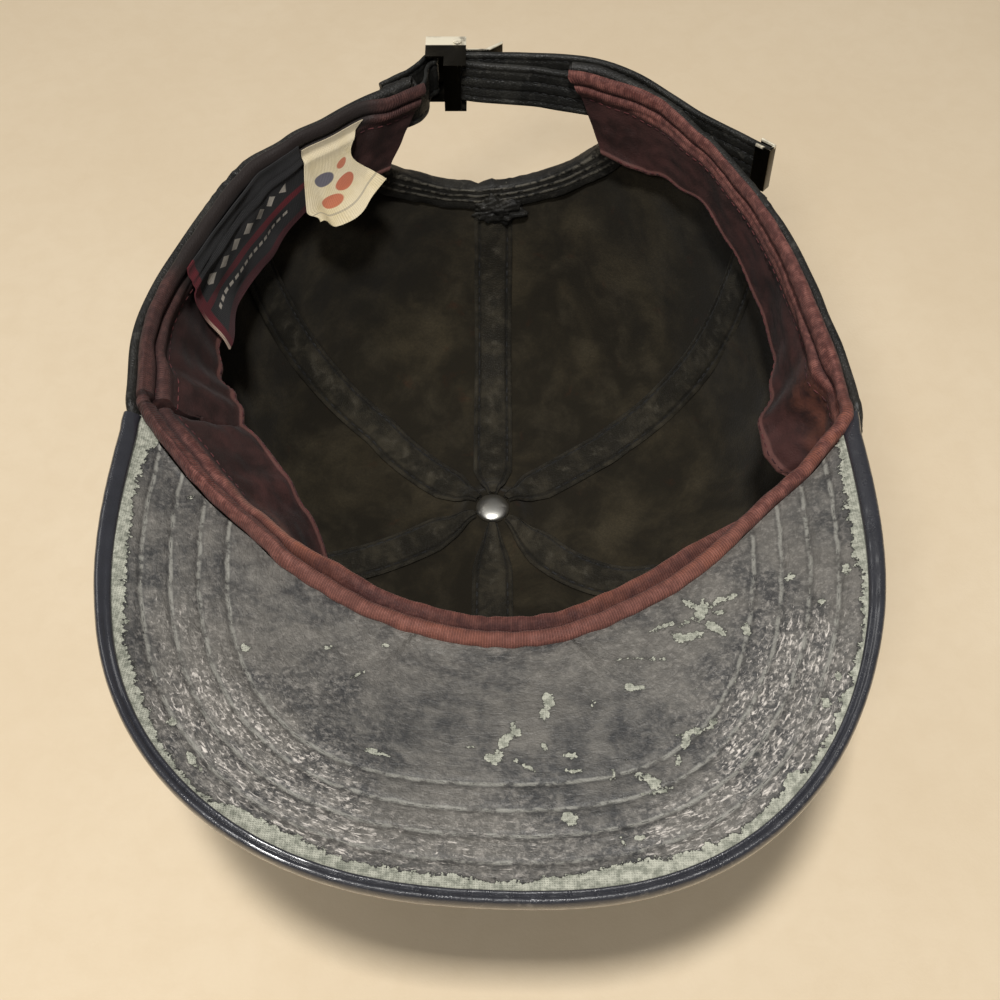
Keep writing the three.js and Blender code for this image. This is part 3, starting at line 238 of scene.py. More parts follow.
def rounded(points, cuts=3):
    """A polyline with its corners cut, its ends kept."""
    points = np.asarray(points, float)
    for _ in range(cuts):
        near = points[:-1] * 0.75 + points[1:] * 0.25
        far = points[:-1] * 0.25 + points[1:] * 0.75
        inner = np.stack([near, far], 1).reshape(-1, points.shape[1])
        points = np.vstack([points[:1], inner, points[-1:]])
    return points


def along_line(points, share):
    """Places at shares of a polyline's length."""
    length = run_of(points)
    where = share * length[-1]
    return np.stack([np.interp(where, length, points[:, axis]) for axis in range(points.shape[1])], -1)


# The cap's own surfaces


def brim_height(x, y):
    """The height of the brim's upper face: rising to the tip, arched across and lower on the right."""
    out = BRIM_ROOT_Y - y
    return BRIM_ROOT_Z + out * BRIM_RISE + BRIM_ARCH * x * x - BRIM_TWIST * x * np.maximum(0, out)


def rim_height(x, y):
    """The height of the rim: straight from the back to the front, where it follows the brim."""
    front = smooth(-20, -48, y)
    return (RIM_BACK_Z + (y - RIM_BACK_Y) * RIM_SLOPE) * (1 - front) + brim_height(x, y) * front


def sunk_rim(angle):
    """How far the rim sinks at the front to pass under the brim."""
    past = np.abs(np.mod(angle, 360) - 270) - 75
    return RIM_SINK * smooth(12, 6, past)


def crown_point(angle, level, full=True):
    """A point of the crown's outside face; full leaves the front of the rim unsunk."""
    angle, level = np.broadcast_arrays(np.asarray(angle, float), np.asarray(level, float))
    sine, cosine = np.sin(np.radians(angle)), np.cos(np.radians(angle))
    height, side, middle, front, back, nose = (flowing(column, level) for column in range(6))
    power = 2 / np.where(sine < 0, nose, 2)
    x = side * signed_power(cosine, power)
    y = np.where(sine > 0, back, front) * signed_power(sine, power)
    out = eased(RIM_LIE, np.mod(angle, 360)) * smooth(8, 13, level)
    grown = 1 + out / np.maximum(np.hypot(x, y), 1)
    x, y = x * grown, middle + y * grown
    share = height / RIM_NOMINAL
    rim = rim_height(x, y) - (0 if full else sunk_rim(angle))
    return np.stack([x, y, height + share * share * (rim - RIM_NOMINAL)], -1)


def crown_normal(angle, level):
    """Which way the crown's outside face looks at a point."""
    level = np.asarray(level, float)
    along = crown_point(angle + 2, level) - crown_point(angle - 2, level)
    above, below = np.minimum(15.99, level + 0.25), np.maximum(0.01, level - 0.25)
    up = crown_point(angle, above) - crown_point(angle, below)
    return unit(np.cross(along, up))


def crown_inset(angle, level, inset):
    """A point inside the crown, straight in from its outside face."""
    return crown_point(angle, level) - crown_normal(angle, level) * np.asarray(inset)[..., None]


def arc_of_degree(angle, level):
    """The length of one degree of the crown's turn, at a level."""
    return np.linalg.norm(crown_point(angle + 0.5, level) - crown_point(angle - 0.5, level), axis=-1)


def seam_angle(seam, level):
    """The plan angle of a seam at a level."""
    hub, flat, rim = SEAMS[seam]
    near = hub + (flat - hub) * smooth(3, 6, level)
    return np.where(level < 6, near, flat + (rim - flat) * np.clip((level - 6) / 7, 0, 1))


def inner_wall(level):
    """How far in from the crown's outside face its inside pieces lie."""
    return np.interp(level, np.arange(len(CROWN_LEVELS)), CROWN_LEVELS[:, 6]) + INSIDE_GAP


def climb(level):
    """The length up the crown's wall to a level."""
    steps = np.linspace(0, 16, 161)
    line = crown_point(np.full(161, 215.0), steps)
    length = run_of(line)
    return np.interp(level, steps, length)


def level_at_drop(angle, drop):
    """The crown's level at a drop below the top of its rim."""
    low, high = np.full(np.shape(angle), 6.0), np.full(np.shape(angle), RIM_TOP)
    target = crown_point(angle, high)[..., 2] - drop
    for _ in range(18):
        middle = (low + high) / 2
        under = crown_point(angle, middle)[..., 2] < target
        low, high = np.where(under, middle, low), np.where(under, high, middle)
    return low


def band_point(angle, along, proud):
    """A point of the sweatband: along its height from the rim, and proud of its outer face."""
    angle, along, proud = np.broadcast_arrays(*(np.asarray(v, float) for v in (angle, along, proud)))
    share = np.maximum(0, along) / BAND_LENGTH
    from_end = np.minimum(angle - BAND_START, BAND_END - angle)
    place = angle + np.where(angle < 270, 1, -1) * 9 * share * smooth(22, 0, from_end)
    lean, pressed, behind, width = (eased(BAND_LIE, angle, column) for column in (1, 2, 3, 4))
    fall = np.sqrt((BAND_LENGTH * width) ** 2 - lean ** 2)
    inward = unit(crown_normal(place, np.full(place.shape, 13.0)) * (-1, -1, 0))
    straight = behind + (lean - behind) * share - pressed * np.sin(np.pi * share)
    clear = np.maximum(behind, 2.4) * smooth(5, 9, along)
    inset = HEM_WALL + np.maximum(np.maximum(straight, behind * (1 - share)), clear)
    drop = np.where(along < 0, along, fall * share)
    level = level_at_drop(place, np.maximum(0, drop))
    point = crown_point(place, np.minimum(level, RIM_EDGE))
    point[..., 2] = crown_point(place, np.full(place.shape, RIM_TOP))[..., 2] - drop
    point += inward * (inset + proud * fall / BAND_LENGTH)[..., None]
    point[..., 2] += proud * lean / BAND_LENGTH
    return point


def brim_outline(count=1400):
    """The brim's edge in plan, from its left corner round the tip to its right one."""
    turn = np.linspace(np.pi, 2 * np.pi, count)
    reach = np.abs(signed_power(np.sin(turn), 2 / BRIM_SQUARENESS))
    x = BRIM_HALF_WIDTH * signed_power(np.cos(turn), 2 / BRIM_SQUARENESS) + BRIM_TIP_SHIFT * reach * reach
    y = BRIM_CORNER_Y + (BRIM_TIP_Y - BRIM_CORNER_Y) * reach
    middle = np.stack([x, y], -1)
    left, right = (along_line(np.array(corner), np.linspace(0, 1, 12)) for corner in BRIM_CORNERS)
    return np.vstack([left[:-1], middle, right[1:]])


BRIM_EDGE = brim_outline()
# The run along the edge is counted from where the brim's broad curve starts, past its tucked corner
BRIM_RUN = run_of(BRIM_EDGE)
BRIM_RUN -= BRIM_RUN[11]


def edge_place(run, inward):
    """The plan place at a run along the brim's edge and a distance in from it."""
    at = np.stack([np.interp(run, BRIM_RUN, BRIM_EDGE[:, axis]) for axis in (0, 1)], -1)
    ahead = np.stack([np.interp(run + 0.6, BRIM_RUN, BRIM_EDGE[:, axis]) for axis in (0, 1)], -1)
    behind = np.stack([np.interp(run - 0.6, BRIM_RUN, BRIM_EDGE[:, axis]) for axis in (0, 1)], -1)
    slope = unit(ahead - behind)
    return at + np.stack([-slope[..., 1], slope[..., 0]], -1) * np.asarray(inward)[..., None]


def from_edge(x, y):
    """Each place's distance from the brim's edge and its run along it."""
    apart, run = np.empty(len(x)), np.empty(len(x))
    for start in range(0, len(x), 4000):
        part = slice(start, start + 4000)
        gaps = np.hypot(x[part, None] - BRIM_EDGE[None, :, 0], y[part, None] - BRIM_EDGE[None, :, 1])
        nearest = gaps.argmin(1)
        apart[part], run[part] = gaps[np.arange(len(nearest)), nearest], BRIM_RUN[nearest]
    return apart, run


def arch_line(margin, count=121):
    """The arch's outline from its left end round to its right end, grown by a margin, as x and z."""
    half = np.array(ARCH_OUTLINE, float)
    whole = np.vstack([half[:0:-1] * (-1, 1), half])
    line = along_line(rounded(whole, 4), np.linspace(0, 1, count))
    slope = unit(np.gradient(line, axis=0))
    return line + np.stack([slope[:, 1], -slope[:, 0]], -1) * margin


def folded_path(inner, bar, wall, start, end, outer):
    """A strip's path in plan: in along one row of points, round a bar and out along another."""
    turns = np.radians(np.linspace(start, end, 13))
    radius = bar[2] + 0.3 + wall / 2
    fold = np.stack([bar[0] + radius * np.cos(turns), bar[1] + radius * np.sin(turns)], -1)
    return along_line(rounded(np.vstack([inner, fold, outer]), 3), np.linspace(0, 1, 181))


# Making meshes


def let_go():
    bpy.ops.object.select_all(action="DESELECT")


def take(piece):
    let_go()
    piece.select_set(True)
    bpy.context.view_layer.objects.active = piece
    return piece


def places_of(piece):
    flat = np.empty(len(piece.data.vertices) * 3)
    piece.data.vertices.foreach_get("co", flat)
    return flat.reshape(-1, 3)


def put_places(piece, places):
    piece.data.vertices.foreach_set("co", np.asarray(places, float).ravel())
    piece.data.update()


def mark(piece, name, values):
    """Stores a number for each corner point, for the materials to read."""
    attribute = piece.data.attributes.new(name, "FLOAT", "POINT")
    attribute.data.foreach_set("value", np.asarray(values, np.float32).ravel())


def apply_all(piece):
    take(piece)
    for modifier in list(piece.modifiers):
        bpy.ops.object.modifier_apply(modifier=modifier.name)


def settle(piece, node, body="cap", finish=None, angle=50):
    """Shades, finishes and fastens a piece that stands for a CAD node, and hides that node."""
    take(piece)
    bpy.ops.object.shade_smooth_by_angle(angle=math.radians(angle))
    if finish:
        piece.data.materials.clear()
        for material in finish if isinstance(finish, (list, tuple)) else [finish]:
            piece.data.materials.append(material)
    if node:
        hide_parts(node)
    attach(piece, body)
    return piece


def cut_away(piece, trim):
    """Cuts a piece along a line; trim gives each point's depth past it and the nearest place on it."""
    points = places_of(piece) / MM
    inside, nearest = trim(points)
    near = (inside > 0) & (inside <= 0.8)
    points[near, 0], points[near, 2] = nearest[near, 0], nearest[near, 1]
    put_places(piece, points * MM)
    take(piece)
    bpy.ops.object.mode_set(mode="EDIT")
    bpy.ops.mesh.select_mode(type="VERT")
    bpy.ops.mesh.select_all(action="DESELECT")
    bpy.ops.object.mode_set(mode="OBJECT")
    piece.data.vertices.foreach_set("select", inside > 0.8)
    bpy.ops.object.mode_set(mode="EDIT")
    bpy.ops.mesh.delete(type="VERT")
    bpy.ops.object.mode_set(mode="OBJECT")


def laid_sheet(name, columns, rows, place, wall, marks=None, offset=-1, finish=None, turned=False, trim=None,
               even=True):
    """A grid laid on a surface and given its wall; place turns shares of its two sides into points."""
    let_go()
    bpy.ops.mesh.primitive_grid_add(x_subdivisions=columns, y_subdivisions=rows, size=2)
    piece = bpy.context.object
    piece.name = piece.data.name = name
    for material in finish or ():
        piece.data.materials.append(material)
    flat = places_of(piece)
    u, v = (flat[:, 0] + 1) / 2, (flat[:, 1] + 1) / 2
    points = place(u, v)
    put_places(piece, points * MM)
    for mark_name, values in (marks(u, v, points) if marks else {}).items():
        mark(piece, mark_name, values)
    order = np.lexsort((np.round(u, 5), np.round(v, 5)))
    across = len(np.unique(np.round(u, 5)))
    grid = points[order].reshape(-1, across, 3)
    lengths = [run_of(line) for line in (grid[len(grid) // 2], grid[:, across // 2])]
    corners = np.empty(len(piece.data.loops), int)
    piece.data.loops.foreach_get("vertex_index", corners)
    chart = np.stack([np.interp(u, np.linspace(0, 1, across), lengths[0]),
                      np.interp(v, np.linspace(0, 1, len(grid)), lengths[1])], -1)[corners] * MM
    piece.data.uv_layers[0].data.foreach_set("uv", chart.ravel())
    if trim:
        cut_away(piece, trim)
    if turned:
        piece.data.flip_normals()
    if wall:
        solid = piece.modifiers.new("Wall", "SOLIDIFY")
        solid.thickness, solid.offset, solid.use_even_offset = wall * MM, offset, even
        if len(piece.data.materials) == 2:
            solid.material_offset = 1
        apply_all(piece)
    return piece


def reworked_copy(node, name, rounds=2, sharp=50, bevel=0.0):
    """A merged copy of a CAD node with its edges held and its faces made fine."""
    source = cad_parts[node]
    piece = bpy.data.objects.new(name, source.data.copy())
    bpy.context.scene.collection.objects.link(piece)
    piece.data.materials.clear()
    shape = bmesh.new()
    shape.from_mesh(piece.data)
    bmesh.ops.remove_doubles(shape, verts=shape.verts, dist=2e-6)
    bmesh.ops.join_triangles(shape, faces=shape.faces, angle_face_threshold=math.radians(30),
                             angle_shape_threshold=math.radians(60))
    crease = shape.edges.layers.float.new("crease_edge")
    for edge in shape.edges:
        if bevel == 0 and len(edge.link_faces) == 2 and edge.calc_face_angle() > math.radians(sharp):
            edge[crease] = 0.9
    shape.to_mesh(piece.data)
    shape.free()
    if bevel:
        soft = piece.modifiers.new("Edges", "BEVEL")
        soft.width, soft.segments, soft.limit_method = bevel * MM, 3, "ANGLE"
        soft.angle_limit = math.radians(sharp)
    if rounds:
        fine = piece.modifiers.new("Fine", "SUBSURF")
        fine.levels = fine.render_levels = rounds
    apply_all(piece)
    return piece


def face_outwards(piece):
    take(piece)
    bpy.ops.object.mode_set(mode="EDIT")
    bpy.ops.mesh.select_all(action="SELECT")
    bpy.ops.mesh.normals_make_consistent(inside=False)
    bpy.ops.object.mode_set(mode="OBJECT")


def tube_faces(rings, sides):
    """The faces of a closed tube, for points that go round it ring by ring."""
    faces = []
    for low in range(0, (rings - 1) * sides, sides):
        for side in range(sides):
            beside = (side + 1) % sides
            faces.append([low + side, low + beside, low + sides + beside, low + sides + side])
    return faces + [list(range(sides))[::-1], list(range((rings - 1) * sides, rings * sides))]


def joined(name, parts):
    """One mesh object from lists of (points, faces)."""
    points, faces, start = [], [], 0
    for part_points, part_faces in parts:
        points.append(part_points)
        faces += [[corner + start for corner in face] for face in part_faces]
        start += len(part_points)
    data = bpy.data.meshes.new(name)
    data.from_pydata(np.vstack(points).tolist(), [], faces)
    piece = bpy.data.objects.new(name, data)
    bpy.context.scene.collection.objects.link(piece)
    return piece


def at_run(run, table, where):
    return np.array([np.interp(where, run, table[:, axis]) for axis in range(3)])


def stitches(name, rows, thread, finish=None, sink=0.08, length=2.5, gap=0.7):
    """Rows of stitches as one piece; a row is its line of points and the face's normals, in millimetres."""
    sides, parts = 5, []
    ring = np.array([(math.cos(a), math.sin(a)) for a in np.linspace(0, 2 * np.pi, sides, endpoint=False)])
    # each ring of a stitch: its share of the length, its thickness, and its height in threads
    shares = ((0, 0.45, -0.75), (0.22, 1, 0.1), (0.78, 1, 0.1), (1, 0.45, -0.75))
    faces = tube_faces(len(shares), sides)
    for line, normals in rows:
        run = run_of(line)
        for start in np.arange(gap, run[-1] - length, length + gap):
            body = []
            for share, thick, rise in shares:
                where = start + share * length
                normal = at_run(run, normals, where)
                normal /= np.linalg.norm(normal)
                slope = at_run(run, line, where + 0.2) - at_run(run, line, where - 0.2)
                side = np.cross(slope, normal)
                side /= np.linalg.norm(side)
                middle = at_run(run, line, where) + normal * (rise * thread - sink)
                body.append(middle + thread * thick * (ring[:, :1] * side + 0.8 * ring[:, 1:] * normal))
            parts.append((np.vstack(body) * MM, faces))
    piece = joined(name, parts)
    face_outwards(piece)
    return settle(piece, None, finish=finish, angle=180)


# Finishes


def tint(red, green, blue):
    """A colour that was judged from 0 to 255, as a shader takes it."""
    share = np.array([red, green, blue]) / 255
    return (*np.where(share <= 0.04045, share / 12.92, ((share + 0.055) / 1.055) ** 2.4), 1.0)


def feed(tree, made, feeds):
    """Links or sets a node's inputs."""
    for key, value in feeds.items():
        if isinstance(value, bpy.types.NodeSocket):
            tree.links.new(value, made.inputs[key])
        else:
            made.inputs[key].default_value = value


def put(tree, kind, feeds=None, out=0, **settings):
    """Adds a node, sets it up, feeds its inputs and gives one of its outputs."""
    made = tree.nodes.new("ShaderNode" + kind)
    for key, value in settings.items():
        setattr(made, key, value)
    feed(tree, made, feeds or {})
    return made.outputs[out]


def sums(tree, operation, a, b=0.0, clamp=False):
    return put(tree, "Math", {0: a, 1: b}, operation=operation, use_clamp=clamp)


def plus(tree, a, b):
    return sums(tree, "ADD", a, b)


def less(tree, a, b, clamp=False):
    return sums(tree, "SUBTRACT", a, b, clamp)


def times(tree, a, b):
    return sums(tree, "MULTIPLY", a, b)


def ranged(tree, value, low, high, start=0.0, end=1.0):
    feeds = {"Value": value, "From Min": low, "From Max": high, "To Min": start, "To Max": end}
    return put(tree, "MapRange", feeds, interpolation_type="SMOOTHSTEP")


def blend_of(tree, share, a, b):
    return put(tree, "Mix", {0: share, 6: a, 7: b}, out=2, data_type="RGBA")


def tinged(tree, colour, mask, share, shade):
    """A colour with up to that share of a shade in it where the mask is 1."""
    return blend_of(tree, times(tree, mask, share), colour, tint(*shade))


def away(tree, value, middle):
    """How far a value is from a middle one."""
    return sums(tree, "ABSOLUTE", less(tree, value, middle))


def cloud(tree, place, size, detail=3.0, rough=0.55, warp=0.0):
    feeds = {"Vector": place, "Scale": 1 / size, "Detail": detail, "Roughness": rough, "Distortion": warp}
    return put(tree, "TexNoise", feeds)


def stretched(tree, place, scale, turn=0.0):
    return put(tree, "Mapping", {"Vector": place, "Scale": scale, "Rotation": (0, 0, math.radians(turn))})


def marked(tree, name):
    return put(tree, "Attribute", out=2, attribute_name=name)


def place_mm(tree):
    """The place on the piece, in millimetres."""
    return put(tree, "VectorMath", {0: put(tree, "TexCoord", out=3), 3: MM_IN_M}, operation="SCALE")


def run_mm(tree):
    """The run along a sheet's first side, in millimetres, from its UV chart."""
    scaled = put(tree, "VectorMath", {0: put(tree, "TexCoord", out=2), 3: MM_IN_M}, operation="SCALE")
    return put(tree, "SeparateXYZ", {0: scaled})


def effect(name, inputs, outputs, build):
    """A shader group with named inputs and outputs."""
    tree = bpy.data.node_groups.new(name, "ShaderNodeTree")
    for socket, kind, value in inputs:
        made = tree.interface.new_socket(name=socket, in_out="INPUT", socket_type="NodeSocket" + kind)
        if value is not None:
            made.default_value = value
    for socket, kind in outputs:
        tree.interface.new_socket(name=socket, in_out="OUTPUT", socket_type="NodeSocket" + kind)
    start, end = tree.nodes.new("NodeGroupInput"), tree.nodes.new("NodeGroupOutput")
    for socket, value in build(tree, start.outputs).items():
        tree.links.new(value, end.inputs[socket])
    return tree


def use(tree, group, feeds, out):
    made = tree.nodes.new("ShaderNodeGroup")
    made.node_tree = bpy.data.node_groups[group]
    feed(tree, made, feeds)
    return made.outputs[out]


def patches(tree, place, size, start, end):
    """Soft-edged patches of about a size, between two levels of a cloud."""
    return use(tree, "Patches", {"Place": place, "Size": size, "From": start, "To": end}, "Mask")


def grained(tree, place, size):
    return use(tree, "Leather grain", {"Place": place, "Size": size}, "Height")


def ragged(tree, place, field, rag):
    """A ragged edge's bare inside, and a painted shadow in a band just outside it along the film's cut edge.
    """
    mask = use(tree, "Ragged edge", {"Place": place, "Field": field, "Rag": rag}, "Mask")
    return mask, mask.node.outputs["Lip shadow"]


def ribbed(tree, run, pitch):
    return use(tree, "Cloth ribs", {"Run": run, "Pitch": pitch}, "Height")


def build_grain(tree, given):
    scale, fine_scale = (sums(tree, "DIVIDE", count, given["Size"]) for count in (1.0, 2.6))
    cells = put(tree, "TexVoronoi", {"Vector": given["Place"], "Scale": scale}, feature="DISTANCE_TO_EDGE")
    pebbles = ranged(tree, cells, 0.0, 0.22)
    fine = put(tree, "TexNoise", {"Vector": given["Place"], "Scale": fine_scale, "Detail": 4.0,
                                  "Roughness": 0.6})
    return {"Height": plus(tree, times(tree, pebbles, 0.55), times(tree, fine, 0.6)),
            "Creases": less(tree, 1.0, pebbles)}


def build_patches(tree, given):
    scale = sums(tree, "DIVIDE", 1.0, given["Size"])
    spread = put(tree, "TexNoise", {"Vector": given["Place"], "Scale": scale, "Detail": 6.0,
                                    "Roughness": 0.62, "Distortion": 0.4})
    return {"Mask": ranged(tree, spread, given["From"], given["To"])}


def build_ragged(tree, given):
    broad = less(tree, cloud(tree, given["Place"], 2.6, 4.0, 0.65), 0.5)
    fine = less(tree, cloud(tree, given["Place"], 0.8, 3.0, 0.6), 0.5)
    shift = times(tree, plus(tree, times(tree, broad, 2.0), fine), given["Rag"])
    field = plus(tree, given["Field"], shift)
    inside = ranged(tree, field, -0.07, 0.07)
    # the second output is a painted shadow just outside the bare place, where the film's cut edge would cast
    # it
    return {"Mask": inside, "Lip shadow": less(tree, ranged(tree, field, -0.65, -0.1), inside, clamp=True)}


def build_row(tree, given):
    return {"Groove": ranged(tree, sums(tree, "ABSOLUTE", given["Apart"]), given["Width"], 0.1)}


def build_ribs(tree, given):
    wave = sums(tree, "SINE", times(tree, sums(tree, "DIVIDE", given["Run"], given["Pitch"]), 2 * math.pi))
    return {"Height": ranged(tree, wave, -1.0, 1.0)}


def make_effects():
    place = ("Place", "Vector", None)
    effect("Leather grain", [place, ("Size", "Float", 1.0)],
           [("Height", "Float"), ("Creases", "Float")], build_grain)
    effect("Patches", [place, ("Size", "Float", 10.0), ("From", "Float", 0.45), ("To", "Float", 0.6)],
           [("Mask", "Float")], build_patches)
    effect("Ragged edge", [place, ("Field", "Float", 0.0), ("Rag", "Float", 2.0)],
           [("Mask", "Float"), ("Lip shadow", "Float")], build_ragged)
    effect("Stitched row", [("Apart", "Float", 0.0), ("Width", "Float", 0.9)],
           [("Groove", "Float")], build_row)
    effect("Cloth ribs", [("Run", "Float", 0.0), ("Pitch", "Float", 0.6)], [("Height", "Float")], build_ribs)


def new_finish(name, **constants):
    """A material with its shader; constants are set on the shader's own sockets."""
    material = bpy.data.materials.new(name)
    material.use_nodes = True
    tree = material.node_tree
    shader = tree.nodes["Principled BSDF"]
    for key, value in constants.items():
        shader.inputs[key.replace("_", " ")].default_value = value
    return material, tree, shader


def dress(tree, shader, colour, rough, height, depth):
    """Feeds the shader a colour, a roughness and a relief of so many millimetres."""
    bump = put(tree, "Bump", {"Height": height, "Distance": depth * MM, "Strength": 1.0})
    for socket, value in (("Base Color", colour), ("Roughness", rough), ("Normal", bump)):
        tree.links.new(value, shader.inputs[socket])


def leather_finish(name, dark, light, rough, grain, rubbed, seam_rows=(), pale_rows=()):
    """Black leather with grain, soft light and dark clouds, rubbed crests and rows of stitching."""
    material, tree, shader = new_finish(name, Specular_IOR_Level=0.35)
    place = place_mm(tree)
    height = grained(tree, place, grain)
    clouds = patches(tree, place, 14.0, 0.38, 0.68)
    colour = blend_of(tree, clouds, dark, light)
    # painted shade: the leather is made darker in the grain's creases
    colour = tinged(tree, colour, height.node.outputs["Creases"], 0.35, (13, 12, 11))
    worn = patches(tree, place, 3.0, 0.56, 0.72)
    colour = blend_of(tree, times(tree, worn, 0.35), colour, rubbed)
    for row in seam_rows:
        apart = less(tree, marked(tree, "seam"), row)
        groove = use(tree, "Stitched row", {"Apart": apart, "Width": 1.3}, "Groove")
        height = less(tree, height, times(tree, groove, 1.6))
        # painted shade: darker in the groove along each row of seam stitching
        colour = tinged(tree, colour, groove, 0.35, (18, 18, 19))
    for row in pale_rows:
        ridge = ranged(tree, away(tree, marked(tree, "off"), row), 0.7, 0.1)
        height = plus(tree, height, times(tree, ridge, 2.0))
        broken = patches(tree, place, 2.0, 0.4, 0.55)
        colour = tinged(tree, colour, times(tree, ridge, broken), 0.6, (116, 111, 99))
    roughness = ranged(tree, cloud(tree, place, 5.0), 0.3, 0.7, rough - 0.08, rough + 0.1)
    dress(tree, shader, colour, roughness, height, 0.12)
    return material


def suede_finish(colours):
    """The crown's inside: a brown nap with paler and redder patches."""
    material, tree, shader = new_finish("suede_inside", Specular_IOR_Level=0.12, Sheen_Weight=0.06,
                                        Sheen_Roughness=0.5)
    place = place_mm(tree)
    brown = patches(tree, place, 26.0, 0.42, 0.72)
    pale = patches(tree, place, 13.0, 0.45, 0.75)
    red = patches(tree, stretched(tree, place, (1, 1, 1), 40), 9.0, 0.6, 0.78)
    nap = cloud(tree, place, 0.7, 4.0, 0.7)
    colour = blend_of(tree, brown, colours.suede, colours.suede_light)
    colour = tinged(tree, colour, pale, 0.4, (76, 69, 55))
    colour = tinged(tree, colour, red, 0.4, (70, 40, 26))
    colour = blend_of(tree, ranged(tree, nap, 0.35, 0.7, 0.35, 0.0), colour, tint(26, 23, 17))
    dress(tree, shader, colour, ranged(tree, nap, 0.3, 0.7, 0.85, 1.0), nap, 0.25)
    return material


def tape_finish():
    """The tapes over the seams: dull leather, paler along the crest where it is rubbed and where a sheen is
    painted, with a row of stitching at each side in a groove darkened by painted shade.
    """
    material, tree, shader = new_finish("seam_tape_leather", Specular_IOR_Level=0.16, Sheen_Weight=0.04)
    place = place_mm(tree)
    across = marked(tree, "across")
    height = grained(tree, place, 0.8)
    clouds = patches(tree, place, 8.0, 0.4, 0.7)
    colour = blend_of(tree, clouds, tint(36, 33, 26), tint(62, 57, 46))
    # the crest: paler in patches, partly rubbed wear and partly a painted sheen
    crest = ranged(tree, sums(tree, "ABSOLUTE", across), 0.62, 0.1)
    worn = patches(tree, place, 4.0, 0.5, 0.72)
    colour = tinged(tree, colour, times(tree, crest, worn), 0.5, (88, 83, 72))
    apart = times(tree, less(tree, sums(tree, "ABSOLUTE", across), TAPE_STITCHES), TAPE_HALF)
    groove = use(tree, "Stitched row", {"Apart": apart, "Width": 0.9}, "Groove")
    # painted shade: darker in the stitching grooves
    colour = tinged(tree, colour, groove, 0.5, (17, 16, 14))
    dress(tree, shader, colour, ranged(tree, clouds, 0.0, 1.0, 0.6, 0.78), less(tree, height, groove), 0.2)
    return material


